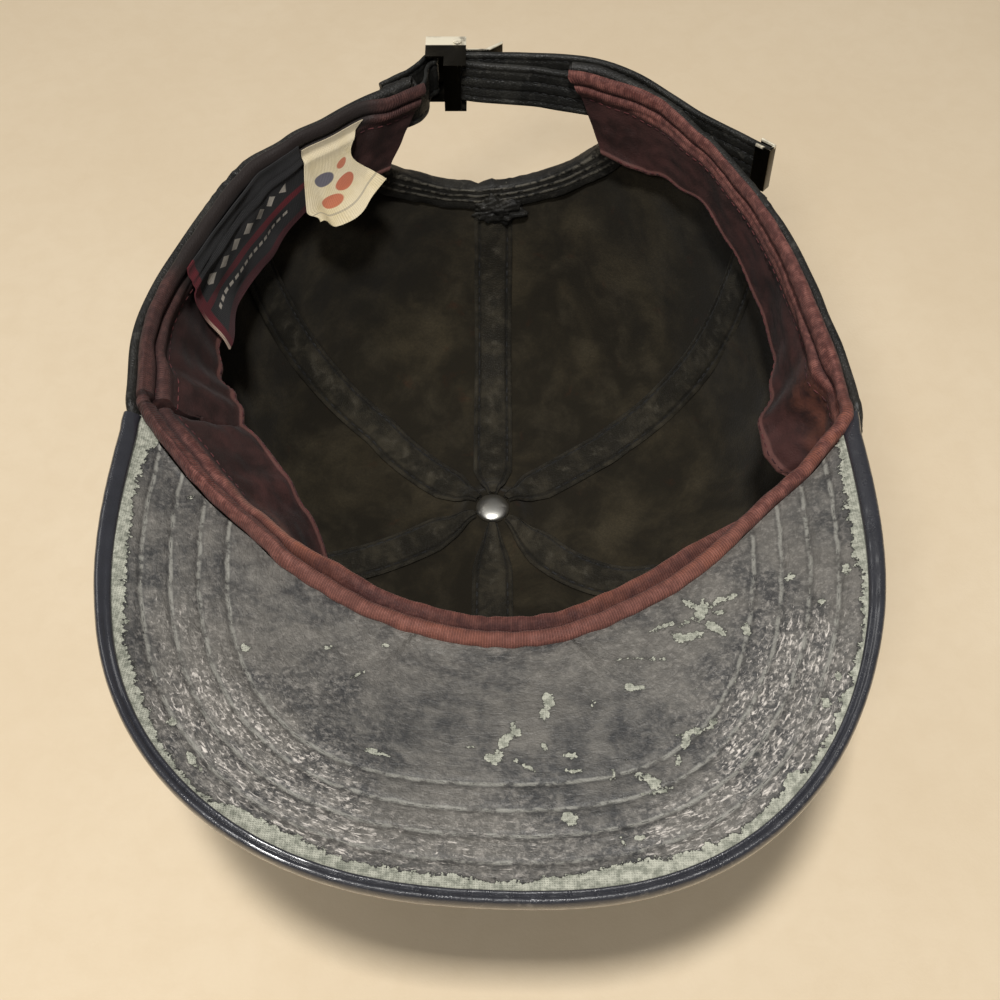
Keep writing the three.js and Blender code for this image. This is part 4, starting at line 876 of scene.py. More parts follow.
def brim_finish():
    """The brim's worn face: hazy rubbed film, rows of stitching, and bare cloth where the film is gone."""
    material, tree, shader = new_finish("worn_brim_leather", Specular_IOR_Level=0.4)
    place = place_mm(tree)
    names = ("edge", "run", "ring", "flake", "rubbed")
    edge, run, ring, flake, rubbed = (marked(tree, name) for name in names)
    rows_way = put(tree, "CombineXYZ", {0: run, 1: edge})
    clouds = patches(tree, place, 24.0, 0.4, 0.62)
    mottle = patches(tree, place, 5.0, 0.38, 0.7)
    colour = blend_of(tree, clouds, tint(62, 62, 62), tint(98, 95, 90))
    colour = tinged(tree, colour, mottle, 0.5, (128, 124, 117))
    # rubbed haze, and bright creases that run with the rows of stitching
    haze = ranged(tree, cloud(tree, place, 1.3, 5.0, 0.72), 0.44, 0.74)
    haze = times(tree, haze, ranged(tree, rubbed, -0.5, 1.1, 0.1, 0.85))
    colour = blend_of(tree, haze, colour, tint(172, 166, 158))
    streak = cloud(tree, stretched(tree, rows_way, (0.3, 1.0, 1.0), 8), 0.75, 4.0, 0.65, 0.8)
    amount = ranged(tree, rubbed, 0.0, 1.0, 0.66, 0.53)
    feeds = {"Value": streak, "From Min": amount, "From Max": plus(tree, amount, 0.13)}
    streak = put(tree, "MapRange", feeds)
    streak = times(tree, streak, ranged(tree, rubbed, 0.0, 0.9, 0.12, 0.95))
    colour = blend_of(tree, streak, colour, tint(222, 214, 205))
    # the rows of stitching: the film is pulled down and worn pale along each, with painted shade in the
    # groove beside it
    step = (BRIM_ROWS[-1] - BRIM_ROWS[0]) / (len(BRIM_ROWS) - 1)
    count = sums(tree, "DIVIDE", less(tree, edge, BRIM_ROWS[0]), step)
    feeds = {"Value": sums(tree, "ROUND", count), "Min": 0.0, "Max": len(BRIM_ROWS) - 1.0}
    nearest = put(tree, "Clamp", feeds)
    wander = times(tree, less(tree, cloud(tree, place, 6.0), 0.5), 1.4)
    apart = times(tree, less(tree, count, nearest), step)
    crease = sums(tree, "ABSOLUTE", plus(tree, apart, wander))
    puff = ranged(tree, sums(tree, "ABSOLUTE", apart), 2.6, 0.0)
    broken = patches(tree, place, 3.4, 0.4, 0.56)
    line = times(tree, ranged(tree, crease, 0.7, 0.1), times(tree, broken, 0.7))
    colour = blend_of(tree, line, colour, tint(152, 150, 142))
    # painted shade in the groove beside each row of stitching
    shade = times(tree, ranged(tree, sums(tree, "ABSOLUTE", apart), 1.3, 0.5), 0.3)
    colour = blend_of(tree, shade, colour, tint(44, 44, 44))
    colour = tinged(tree, colour, line, 0.8, (152, 150, 142))
    # bare cloth: the ring inside the hem, the loose flakes and fine specks
    mask, lip_shadow = ragged(tree, place, ring, 2.4)
    small, small_lip_shadow = ragged(tree, place, flake, 2.1)
    speck = ranged(tree, cloud(tree, place, 1.2, 3.0, 0.6), 0.72, 0.75)
    speck = times(tree, speck, ranged(tree, rubbed, -0.2, 0.6, 0.15, 0.9))
    mask = sums(tree, "MAXIMUM", mask, sums(tree, "MAXIMUM", small, speck))
    lip_shadow = sums(tree, "MAXIMUM", lip_shadow, times(tree, small_lip_shadow, 0.5))
    warp = put(tree, "TexWave", {"Vector": place, "Scale": 0.62, "Distortion": 2.5, "Detail": 2.0})
    weft = put(tree, "TexWave", {"Vector": place, "Scale": 0.62, "Distortion": 1.5}, bands_direction="Y")
    weave = times(tree, warp, weft)
    fuzz = ranged(tree, cloud(tree, place, 1.6, 5.0, 0.7), 0.35, 0.65)
    cloth = blend_of(tree, fuzz, tint(126, 128, 116), tint(186, 186, 171))
    cloth = blend_of(tree, times(tree, weave, 0.16), cloth, tint(92, 93, 82))
    # painted shadow along the film's cut edge round the bare cloth
    colour = tinged(tree, colour, lip_shadow, 0.8, (36, 37, 36))
    colour = blend_of(tree, mask, colour, cloth)
    grain = grained(tree, place, 0.85)
    crumple = cloud(tree, stretched(tree, rows_way, (0.35, 1.0, 1.0), 8), 1.7, 4.0, 0.6, 0.6)
    film = plus(tree, times(tree, grain, 0.3), times(tree, crumple, 2.2))
    film = less(tree, plus(tree, film, 1.5), sums(tree, "POWER", puff, 3.0))
    film = times(tree, film, less(tree, 1.0, mask))
    height = plus(tree, film, times(tree, times(tree, weave, 0.4), mask))
    shine = ranged(tree, cloud(tree, place, 4.0), 0.3, 0.7, 0.42, 0.6)
    roughness = put(tree, "Mix", {0: mask, 2: shine, 3: 0.95}, data_type="FLOAT")
    dress(tree, shader, colour, roughness, height, 0.24)
    return material


def hem_finish():
    """The brim's smooth wrapped edge, glossy and rippled, rubbed along its crest."""
    material, tree, shader = new_finish("smooth_hem_leather", Specular_IOR_Level=0.55, Coat_Weight=0.8,
                                        Coat_Roughness=0.14)
    place = place_mm(tree)
    across = marked(tree, "across")
    ripples = cloud(tree, place, 2.2, 3.0, 0.6, 0.6)
    fine = grained(tree, place, 0.7)
    colour = blend_of(tree, cloud(tree, place, 9.0), tint(32, 33, 38), tint(50, 51, 58))
    crest = ranged(tree, away(tree, across, 0.42), 0.16, 0.02)
    rubbed = times(tree, patches(tree, place, 1.6, 0.55, 0.7), crest)
    colour = tinged(tree, colour, rubbed, 0.4, (122, 118, 112))
    height = plus(tree, ripples, times(tree, fine, 0.35))
    dress(tree, shader, colour, ranged(tree, cloud(tree, place, 3.0), 0.3, 0.7, 0.24, 0.4), height, 0.12)
    return material


def band_finish(colours):
    """The sweatband: ribbed piping on the roll, rubbed orange where it is worn, and a dark smooth face;
    painted shade darkens its left side, its groove and the furrows between its ribs.
    """
    material, tree, shader = new_finish("maroon_sweatband", Specular_IOR_Level=0.3, Sheen_Weight=0.04)
    place = place_mm(tree)
    run = run_mm(tree)
    along, turn, worn = (marked(tree, name) for name in ("along", "turn", "worn"))
    roll = ranged(tree, along, 9.6, 7.6)
    clouds = patches(tree, place, 11.0, 0.36, 0.66)
    mottle = patches(tree, place, 2.2, 0.4, 0.66)
    face = blend_of(tree, clouds, tint(40, 24, 22), colours.sweatband)
    piping = blend_of(tree, mottle, tint(96, 54, 48), colours.piping)
    piping = blend_of(tree, times(tree, clouds, 0.35), piping, colours.sweatband)
    front = times(tree, ranged(tree, turn, 206, 232), ranged(tree, turn, 334, 308))
    inner = times(tree, front, ranged(tree, along, 4.2, 5.6))
    piping = tinged(tree, piping, inner, 0.7, (186, 138, 120))
    outer = times(tree, front, ranged(tree, along, 3.4, 2.2))
    piping = tinged(tree, piping, outer, 0.4, (132, 88, 76))
    # painted shade: the band's left side, round to the front-left, is darker in its piping and its face
    dull = times(tree, ranged(tree, turn, 212, 190), 0.68)
    piping = blend_of(tree, dull, piping, tint(46, 31, 29))
    face = blend_of(tree, times(tree, dull, 0.5), face, tint(36, 24, 22))
    colour = blend_of(tree, roll, face, piping)
    rubbed = times(tree, worn, patches(tree, place, 5.0, 0.34, 0.6))
    colour = tinged(tree, colour, rubbed, 0.55, (184, 112, 84))
    # painted shade: darker in the groove between the roll's two ridges
    groove = ranged(tree, away(tree, along, 3.7), 0.75, 0.1)
    colour = tinged(tree, colour, groove, 0.6, (38, 20, 22))
    strip = ranged(tree, along, 30.4, 31.0)
    colour = tinged(tree, colour, strip, 0.7, (104, 68, 62))
    black = marked(tree, "covered")
    colour = blend_of(tree, black, colour, tint(34, 32, 29))
    ribs = ribbed(tree, run, 0.62)
    ribs = times(tree, ribs, times(tree, roll, less(tree, 1.0, black)))
    # painted shade: darker in the furrows between the ribs of the roll
    colour = tinged(tree, colour, less(tree, roll, ribs), 0.3, (40, 20, 20))
    grain = grained(tree, place, 0.9)
    weave = cloud(tree, stretched(tree, place, (1, 1, 3)), 0.5, 3.0)
    cloth = plus(tree, times(tree, grain, 0.3), times(tree, weave, 0.5))
    height = plus(tree, times(tree, ribs, 0.8), cloth)
    dress(tree, shader, colour, ranged(tree, clouds, 0.0, 1.0, 0.55, 0.72), height, 0.2)
    return material


def label_finish(colours):
    """Black woven cloth with a maroon stripe, a maroon border at one end and plain woven rows."""
    material, tree, shader = new_finish("black_woven_label", Specular_IOR_Level=0.3, Sheen_Weight=0.1)
    place = place_mm(tree)
    across, down = marked(tree, "across"), marked(tree, "down")
    threads = times(tree, ribbed(tree, across, 0.45), ribbed(tree, down, 0.45))
    colour = blend_of(tree, cloud(tree, place, 6.0), tint(26, 26, 27), tint(44, 43, 44))
    stripe = ranged(tree, away(tree, down, 18.2), 1.5, 1.2)
    border = ranged(tree, less(tree, marked(tree, "length"), across), 2.6, 2.2)
    end = ranged(tree, down, 27.6, 28.2)
    red = sums(tree, "MAXIMUM", sums(tree, "MAXIMUM", stripe, border), times(tree, end, 0.55))
    colour = blend_of(tree, red, colour, colours.label)
    # a plain woven row of lozenges over the stripe, and short dashes under it
    step = sums(tree, "PINGPONG", across, 2.6)
    lozenge = plus(tree, step, away(tree, down, 12.6))
    dash = ranged(tree, sums(tree, "PINGPONG", across, 1.1), 0.75, 0.65)
    dash = times(tree, dash, ranged(tree, away(tree, down, 22.6), 0.75, 0.55))
    kept = times(tree, ranged(tree, across, 5.0, 5.4), ranged(tree, across, 38.0, 37.6))
    woven = times(tree, sums(tree, "MAXIMUM", ranged(tree, lozenge, 2.1, 1.9), dash), kept)
    colour = tinged(tree, colour, woven, 0.85, (205, 196, 182))
    pale = ranged(tree, less(tree, marked(tree, "length"), across), 0.7, 0.4)
    colour = blend_of(tree, times(tree, pale, ranged(tree, down, 17.0, 26.0)), colour, tint(196, 170, 150))
    dress(tree, shader, colour, ranged(tree, threads, 0.0, 1.0, 0.95, 0.75), threads, 0.12)
    return material


def tag_finish(colours):
    """Cream cloth with a faded print of plain discs and bars."""
    material, tree, shader = new_finish("cream_care_tag", Specular_IOR_Level=0.25, Sheen_Weight=0.1)
    place = place_mm(tree)
    across, down = marked(tree, "across"), marked(tree, "down")
    threads = times(tree, ribbed(tree, across, 0.4), ribbed(tree, down, 0.4))
    colour = blend_of(tree, patches(tree, place, 9.0, 0.4, 0.7), colours.tag, tint(240, 222, 178))
    colour = blend_of(tree, ranged(tree, down, 9.0, 0.0, 0.0, 0.55), colour, tint(150, 138, 120))
    for x, y, radius, shade in ((5.2, 15.0, 2.7, tint(58, 66, 104)), (10.4, 20.5, 2.9, tint(206, 92, 60)),
                                (5.6, 24.6, 2.4, tint(206, 98, 66)), (11.2, 12.4, 1.9, tint(208, 104, 72))):
        dx, dy = less(tree, across, x), less(tree, down, y)
        apart = sums(tree, "SQRT", plus(tree, times(tree, dx, dx), times(tree, dy, dy)))
        colour = blend_of(tree, ranged(tree, apart, radius + 0.25, radius - 0.15, 0.0, 0.85), colour, shade)
    bar = ranged(tree, away(tree, down, 29.4), 0.5, 0.3, 0.0, 0.5)
    colour = blend_of(tree, bar, colour, tint(150, 142, 130))
    dress(tree, shader, colour, ranged(tree, threads, 0.0, 1.0, 0.95, 0.8), threads, 0.1)
    return material


def metal_finish(name, clean, tarnished, rough, edge=None):
    """Plated metal with dull spots and fine scratches, and where asked a painted highlight along its top
    edge, paler and less metallic there.
    """
    material, tree, shader = new_finish(name, Metallic=1.0)
    place = place_mm(tree)
    spots = patches(tree, place, 3.0, 0.5, 0.75)
    colour = blend_of(tree, spots, clean, tarnished)
    if edge:
        # painted highlight: the top edge turns pale and less metallic so that it shows bright, in place of a
        # reflection
        spot = put(tree, "SeparateXYZ", {0: place}).node.outputs
        share = ranged(tree, less(tree, spot["Z"], marked(tree, "top")), 0.7, 1.0)
        back = less(tree, spot["Y"], marked(tree, "back"))
        share = times(tree, share, ranged(tree, back, 0.0, 0.5))
        share = times(tree, share, ranged(tree, cloud(tree, place, 5.0), 0.25, 0.5, 0.35, 1.0))
        colour = blend_of(tree, share, colour, edge)
        tree.links.new(less(tree, 1.0, times(tree, share, 0.75)), shader.inputs["Metallic"])
    scratches = cloud(tree, stretched(tree, place, (0.3, 1, 1), 25), 0.25, 3.0, 0.6)
    roughness = ranged(tree, spots, 0.0, 1.0, rough, rough + 0.25)
    dress(tree, shader, colour, roughness, scratches, 0.02)
    return material


def thread_finish(name, dark, light):
    """Twisted thread, darker and lighter in patches."""
    material, tree, shader = new_finish(name, Specular_IOR_Level=0.3, Sheen_Weight=0.1)
    place = place_mm(tree)
    feeds = {"Vector": place, "Scale": 0.9, "Distortion": 2.0}
    twist = put(tree, "TexWave", feeds, bands_direction="DIAGONAL")
    colour = blend_of(tree, patches(tree, place, 9.0, 0.4, 0.62), dark, light)
    dress(tree, shader, colour, ranged(tree, twist, 0.0, 1.0, 0.7, 0.9), twist, 0.08)
    return material


def floor_finish():
    """A plain warm pale floor, faintly clouded."""
    material, tree, shader = new_finish("pale_floor", Specular_IOR_Level=0.2)
    place = place_mm(tree)
    broad = patches(tree, place, 120.0, 0.3, 0.7)
    fine = patches(tree, place, 9.0, 0.35, 0.7)
    colour = blend_of(tree, broad, tint(231, 211, 180), tint(236, 217, 187))
    colour = tinged(tree, colour, fine, 0.25, (224, 203, 171))
    dress(tree, shader, colour, ranged(tree, fine, 0.0, 1.0, 0.8, 0.95), cloud(tree, place, 1.2), 0.05)
    return material


FINISHES = {}


def make_finishes(colours):
    make_effects()
    FINISHES.update({
        "outside": leather_finish("black_leather_outside", colours.leather, colours.leather_light, 0.48, 1.1,
                                  tint(88, 85, 79), (SEAM_STITCHES,)),
        "strap": leather_finish("black_leather_strap", tint(30, 30, 28), tint(52, 51, 47), 0.45, 0.9,
                                tint(96, 94, 88)),
        "binding": leather_finish("black_leather_binding", tint(28, 27, 25), tint(50, 48, 43), 0.5, 0.8,
                                  tint(90, 86, 78), pale_rows=(1.2, 3.4, 5.4)),
        "suede": suede_finish(colours), "tape": tape_finish(), "brim": brim_finish(), "hem": hem_finish(),
        "band": band_finish(colours), "label": label_finish(colours), "tag": tag_finish(colours),
        "floor": floor_finish(),
        "nickel": metal_finish("polished_nickel", colours.rivet, tint(196, 192, 182), 0.34),
        # the buckle's last colour is a painted highlight along its top edges
        "dark_metal": metal_finish("dull_buckle_metal", colours.buckle, tint(34, 31, 26), 0.3,
                                   tint(250, 240, 215)),
        "thread": thread_finish("black_thread", tint(22, 22, 23), colours.thread),
        "worn_thread": thread_finish("worn_thread", tint(66, 66, 63), tint(150, 148, 139)),
        "red_thread": thread_finish("maroon_thread", tint(58, 26, 30), tint(98, 48, 48)),
    })


# The pieces


def panel_shape(start, end, seed, sizes):
    """Where a panel's points go: up the wall, over the rim in a roll and down inside it."""
    def angles(u, v):
        lap = np.interp(v, (0, 0.84, 0.93, 1), (0, 15, 16, 17))
        level = np.minimum(lap, 15) - 2 * np.clip(lap - 16, 0, 1)
        low, high = seam_angle(start, level), seam_angle(end, level)
        high = high + np.where(high < low, 360, 0)
        low = low + SEAM_GAP / arc_of_degree(low, level)
        high = high - SEAM_GAP / arc_of_degree(high, level)
        angle = low + (high - low) * u
        apart = np.minimum(u, 1 - u) * (high - low) * arc_of_degree(angle, level)
        return lap, level, angle, apart

    def place(u, v):
        lap, level, angle, apart = angles(u, v)
        run = climb(level)
        base = crown_point(angle, level, full=False)
        wall = smooth(6.3, 9, level)
        left = u < 0.5
        wobble = soft_noise(np.stack([run, left * 50.0, lap * 0], -1), 14, seed)
        waves = np.sin(run * 1.15 + 3 * wobble)
        pucker = sizes.pucker_depth * MM_IN_M * np.exp(-((apart - 1) / 5.5) ** 2) * waves
        lift = -0.55 * np.exp(-(apart / 0.8) ** 2) + pucker * (0.25 + 0.75 * wall)
        lift += sizes.lie_depth * MM_IN_M * soft_noise(base, 42, seed + 1) * wall * smooth(15, 12, level)
        lift += 0.35 * soft_noise(base, 13, seed + 2) * wall
        gather = np.exp(-(apart / 9) ** 2) * smooth(11.5, 14, level)
        lift += 0.6 * gather * np.sin(angle * arc_of_degree(angle, level) * 1.3 + wobble * 2)
        lift = np.where(level < 6.3, np.minimum(lift, 0), lift)
        normal = crown_normal(angle, level)
        turn = np.clip(lap - 15, 0, 1) * np.pi
        radius = 1.5
        point = base + normal * (lift * (1 - 0.7 * (lap > 15)) - radius * (1 - np.cos(turn)))[:, None]
        point[:, 2] += radius * np.sin(turn)
        point[:, 2] = np.maximum(point[:, 2], 0.02)
        return point

    def marks(u, v, points):
        return {"seam": angles(u, v)[3]}

    return place, marks


def make_crown(sizes):
    for index, (node, (start, end)) in enumerate(PANELS.items()):
        place, marks = panel_shape(start, end, 10 + index, sizes)
        trim = in_arch if "back" in node else None
        sheet = laid_sheet(node + "_leather", 66, 128, place, 1.2, marks, trim=trim,
                           finish=(FINISHES["outside"], FINISHES["suede"]))
        settle(sheet, node, angle=60)


def in_arch(points):
    """How deep each point is inside the arch, and the nearest place on its edge."""
    line = arch_line(0.8, 400)
    gaps = np.hypot(points[:, 0, None] - line[None, :, 0], points[:, 2, None] - line[None, :, 1])
    nearest = gaps.argmin(1)
    low = np.interp(np.abs(points[:, 0]), [0, 12, 23.5, 32, 36.8], [68.2, 70.4, 76.9, 84.7, 92.0])
    reach = np.interp(points[:, 2], [68.2, 70.4, 76.9, 84.7, 92, 98.5, 105, 112, 118, 125],
                      [0, 12.2, 24, 32.7, 36.8, 34.3, 28.3, 24.2, 23.4, 23.4])
    within = (points[:, 2] > low) & (np.abs(points[:, 0]) < reach) & (points[:, 1] > 40)
    return np.where(within, gaps[np.arange(len(points)), nearest], 0), line[nearest]


# A seam tape's half section: shares of its half width, and how far it stands off the crown's wall
TAPE_SECTION = ((0, 0.45, 0.66, 0.74, 0.82, 0.93, 1), (1.65, 1.6, 1.3, 0.75, 1.0, 0.85, 0.3))


def make_tapes():
    for seam in SEAMS:
        end = BACK_SEAM_END if seam == "back" else 13

        def place(u, v, seam=seam, end=end):
            across, level = 2 * u - 1, 0.78 + (end - 0.78) * v
            middle = seam_angle(seam, level)
            wall = inner_wall(level)
            crowded = math.radians(21) * (flowing(1, level) - wall) - 0.15
            half = np.minimum(TAPE_HALF, crowded)
            angle = middle + across * half / arc_of_degree(middle, level)
            thick = np.interp(np.abs(across), *TAPE_SECTION)
            run = climb(level)
            inner = smooth(1.0, 0.5, np.abs(across))
            thick += 0.16 * soft_noise(np.stack([run, across * 3], -1), 7, 5) * inner
            thick += 0.22 * soft_noise(np.stack([run, across * 0], -1), 18, 8)
            return crown_inset(angle, level, wall + thick)

        def marks(u, v, points, end=end):
            return {"across": 2 * u - 1}

        sheet = laid_sheet("seam_band_" + seam, 34, 96, place, 0.7, marks, offset=1)
        settle(sheet, "seam_tape_" + seam, finish=FINISHES["tape"], angle=60)


def make_button():
    button = reworked_copy("top_button", "covered_button", 2, sharp=80)
    settle(button, "top_button", finish=FINISHES["outside"], angle=80)
    low, high = (np.array(corner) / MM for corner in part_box("button_rivet"))
    middle, radius = (low + high) / 2, (high[0] - low[0]) / 2
    let_go()
    bpy.ops.mesh.primitive_uv_sphere_add(segments=64, ring_count=40, radius=1)
    rivet = bpy.context.object
    rivet.name = rivet.data.name = "rivet_disc"
    unit = places_of(rivet)
    dome = np.sign(unit[:, 2]) * np.abs(unit[:, 2]) ** np.where(unit[:, 2] > 0, 1.0, 0.6)
    put_places(rivet, np.column_stack([middle[0] + unit[:, 0] * radius, middle[1] + unit[:, 1] * radius,
                                       high[2] - 1.9 + dome * 1.9]) * MM)
    settle(rivet, "button_rivet", finish=FINISHES["nickel"], angle=60)


def brim_fields(points):
    """What the brim's finish reads: distance from the edge and run, peeled ring, flakes and rubbing."""
    edge, run = from_edge(points[:, 0], points[:, 1])
    ring = np.interp(run, PEELED_RING[:, 0], PEELED_RING[:, 1]) - edge
    flake = np.full(len(points), -4.0)
    for x, y, half_long, half_wide, turn in FLAKES:
        c, s = math.cos(math.radians(turn)), math.sin(math.radians(turn))
        dx, dy = points[:, 0] - x, points[:, 1] - y
        stray = np.hypot((dx * c + dy * s) / half_long, (dy * c - dx * s) / half_wide)
        flake = np.maximum(flake, (1 - stray) * min(half_long, half_wide) * 1.3 - 0.12)
    rubbed = 0.15 + sum(strength * np.exp(-((points[:, 0] - x) ** 2 + (points[:, 1] - y) ** 2) / radius ** 2)
                        for x, y, radius, strength in RUBBED)
    return {"edge": edge, "run": run, "ring": np.maximum(ring, -6), "flake": flake, "rubbed": rubbed}


def brim_relief(x, y):
    """The leather's soft waves, and its puffing between the rows of stitching."""
    place = np.stack([x, y], -1)
    lie = 0.5 * soft_noise(place, 55, 31) + 0.16 * soft_noise(place, 13, 32)
    edge, run = from_edge(x, y)
    pull = sum(np.exp(-((edge - row) / 1.1) ** 2) for row in BRIM_ROWS)
    return lie * smooth(0, 4, edge) - 0.3 * pull * (0.75 + 0.25 * np.sin(run * 0.9))


def make_brim():
    def place(u, v):
        tucked = 2.6 + 3.4 * smooth(0.05, 0, np.minimum(u, 1 - u))
        root = crown_inset(190.5 + 159 * u, np.full(len(u), RIM_EDGE), tucked)
        edge = edge_place(BRIM_RUN[0] + (BRIM_RUN[-1] - BRIM_RUN[0]) * u, np.zeros(len(u)))
        x, y = (root[:, :2] * (1 - v)[:, None] + edge * v[:, None]).T
        return np.stack([x, y, brim_height(x, y) + brim_relief(x, y) * smooth(0, 0.08, v)], -1)

    sheet = laid_sheet("brim_leather", 300, 110, place, 3.0, lambda u, v, points: brim_fields(points),
                       turned=True, even=False, finish=(FINISHES["brim"], FINISHES["outside"]))
    settle(sheet, "brim", angle=60)


def make_hem():
    """The wrap over the brim's edge: flat and broad at the sides, and a small double roll at the tip."""
    flat = np.array([(2.5, 0.15), (2.5, 0.75), (1.9, 1.05), (0.4, 1.15), (-0.8, 0.95), (-1.7, -0.1),
                     (-1.9, -1.5), (-1.6, -3), (-0.8, -4.1), (1, -4.4), (2.3, -4.3), (2.5, -3.4)])
    rolled = np.array([(1.3, 0.1), (1.35, 0.6), (1.0, 0.95), (0.55, 0.85), (0.35, 0.35), (0.0, 0.45),
                       (-0.4, 0.95), (-1.2, 0.7), (-1.8, -0.5), (-1.75, -2.4), (-1.1, -3.8), (0.2, -4.4),
                       (1.2, -4.3), (1.3, -3.4)])

    def place(u, v):
        run = BRIM_RUN[0] + 0.6 + (BRIM_RUN[-1] - BRIM_RUN[0] - 1.2) * u
        side = np.abs(2 * u - 1) ** 1.3
        shapes = [along_line(rounded(shape, 3), v) for shape in (rolled, flat)]
        share = smooth(0.3, 0.85, side)[:, None]
        section = shapes[0] * (1 - share) + shapes[1] * share
        ripple = 0.08 * soft_noise(np.stack([run, v * 12], -1), 6, 41)
        at = edge_place(run, section[:, 0])
        height = brim_height(at[:, 0], at[:, 1]) + section[:, 1] + ripple
        return np.stack([at[:, 0], at[:, 1], height], -1)

    sheet = laid_sheet("brim_hem_leather", 340, 30, place, 0.5, lambda u, v, points: {"across": v},
                       turned=True)
    settle(sheet, "brim_hem", finish=FINISHES["hem"], angle=70)


def make_arch():
    tape = reworked_copy("arch_tape", "arch_binding", 2, sharp=60)
    points = places_of(tape) / MM
    puff = 0.35 * soft_noise(points, 7, 51) + 0.25 * soft_noise(points, 3.2, 52)
    middle = np.exp(-(points[:, 0] / 6) ** 2) * (points[:, 2] < 84)
    normals = np.array([v.normal for v in tape.data.vertices])
    put_places(tape, (points + normals * (puff * (0.5 + 1.5 * middle))[:, None]) * MM)
    line = arch_line(0.0, 400)
    off = [np.hypot(points[i, 0] - line[:, 0], points[i, 2] - line[:, 1]).min() for i in range(len(points))]
    mark(tape, "off", np.where(points[:, 2] > 112, 9.0, off))
    settle(tape, "arch_tape", finish=FINISHES["binding"], angle=60)
    # the gathered leather where the arch meets the seam
    let_go()
    bpy.ops.mesh.primitive_uv_sphere_add(segments=80, ring_count=48, radius=1)
    bunch = bpy.context.object
    bunch.name = bunch.data.name = "arch_bunch"
    unit = places_of(bunch)
    folds = 1 + 0.12 * np.sin(9 * unit[:, 0] + 3 * unit[:, 2])
    folds += 0.2 * soft_noise(unit, 0.8, 53) + 0.2 * soft_noise(unit, 0.35, 54)
    base = crown_inset(89.3, 10.5, 3.4)
    put_places(bunch, (unit * folds[:, None] * (7.4, 2.2, 5.0) + base + (0, 0.5, 2.2)) * MM)
    mark(bunch, "off", np.full(len(unit), 9.0))
    settle(bunch, None, finish=FINISHES["binding"], angle=180)


# The sweatband's rubbed places: plan angle, spread, strength, and their limits along its height
BAND_WEAR = ((231, 9, 0.8, 3, 14), (296, 12, 0.7, 3, 10), (311, 8, 0.45, -3, 9), (351, 9, 0.45, 5, 22),
             (342, 12, 0.6, -3, 9), (262, 14, 0.35, -3, 9), (362, 7, 0.3, 8, 18))


def make_band():
    section = rounded(BAND_FACE, 2)

    def place(u, v):
        angle = BAND_START + (BAND_END - BAND_START) * u
        along, proud = along_line(section, v).T
        body = smooth(9, 15, along) * smooth(32, 28, along)
        run = angle * 1.55
        fold = soft_noise(np.stack([run, along * 0.45], -1), 17, 61) * 0.8
        fold += soft_noise(np.stack([run * 0.6, along], -1), 7, 62) * 0.3
        roll = smooth(9, 6, along)
        proud = proud + fold * body + roll * 0.16 * soft_noise(np.stack([run, along], -1), 8, 63)
        front = smooth(212, 240, angle) * smooth(330, 306, angle)
        second = smooth(3.3, 4.1, along) * smooth(15, 9.5, along)
        rolled_out = front * smooth(0.6, -0.6, proud) * smooth(2.2, 0.5, along)
        along = along - 4.2 * front * second
        return band_point(angle, along, proud + 4.6 * front * second - 0.6 * rolled_out)

    def marks(u, v, points):
        angle = BAND_START + (BAND_END - BAND_START) * u
        along = along_line(section, v)[:, 0]
        crest = smooth(9.5, 6.5, along)
        worn = 0.0
        for centre, spread, strength, low, high in BAND_WEAR:
            worn = np.maximum(worn, strength * np.exp(-((angle - centre) / spread) ** 2)
                              * smooth(low - 2, low + 1, along) * smooth(high + 3, high - 1, along))
        covered = smooth(164, 159, angle) * smooth(112, 117, angle) * crest
        return {"along": along, "turn": angle, "worn": worn, "covered": covered}

    sheet = laid_sheet("sweatband_cloth", 420, 74, place, 0.6, marks, even=False)
    settle(sheet, "sweatband", finish=FINISHES["band"], angle=75)


def make_trims():
    def label_place(u, v):
        angle = 130.6 + 28.6 * u
        along = 1.0 + 31.4 * v
        ridge = np.interp(along, (1.0, 1.6, 3.0, 4.2, 5.9, 8.2, 10.5, 33),
                          (3.5, 3.7, 3.4, 3.3, 3.7, 2.9, 2.1, 2.0))
        corner = smooth(0.72, 1.0, u) * smooth(0.5, 1.0, v)
        lift = ridge + 0.5 + 0.35 * soft_noise(np.stack([angle * 1.5, along], -1), 11, 71) + 2.4 * corner
        return band_point(angle, along + 1.2 * corner, lift)

    def label_marks(u, v, points):
        return {"across": u * 43, "down": v * 31.4, "length": np.full(len(u), 43.0)}

    label = laid_sheet("label_cloth", 60, 60, label_place, 0.45, label_marks, even=False)
    settle(label, "woven_label", finish=FINISHES["label"], angle=60)

    def tag_place(across, down):
        waist = 7 * np.sin(np.pi * down) * (1 - across)
        right = 117 + (110.5 - 117) * down + waist
        left = 130 + (133.5 - 130) * down - 2.2 * smooth(0.75, 1, down) * smooth(0.6, 1, across)
        reach = 28 + 8 * across + 7 * np.sin(np.pi * across) - 3.5 * smooth(0.75, 1, across)
        wave = 0.5 * np.sin(across * 7 + down * 3)
        proud = 3.9 + 8 * down * down + wave * down
        return band_point(right + (left - right) * across, 4 + (reach - 4) * down, proud)

    tag = laid_sheet("tag_cloth", 44, 60, tag_place, 0.3,
                     lambda u, v, points: {"across": (1 - u) * 17, "down": v * 34}, even=False)
    settle(tag, "care_tag", finish=FINISHES["tag"], angle=60)


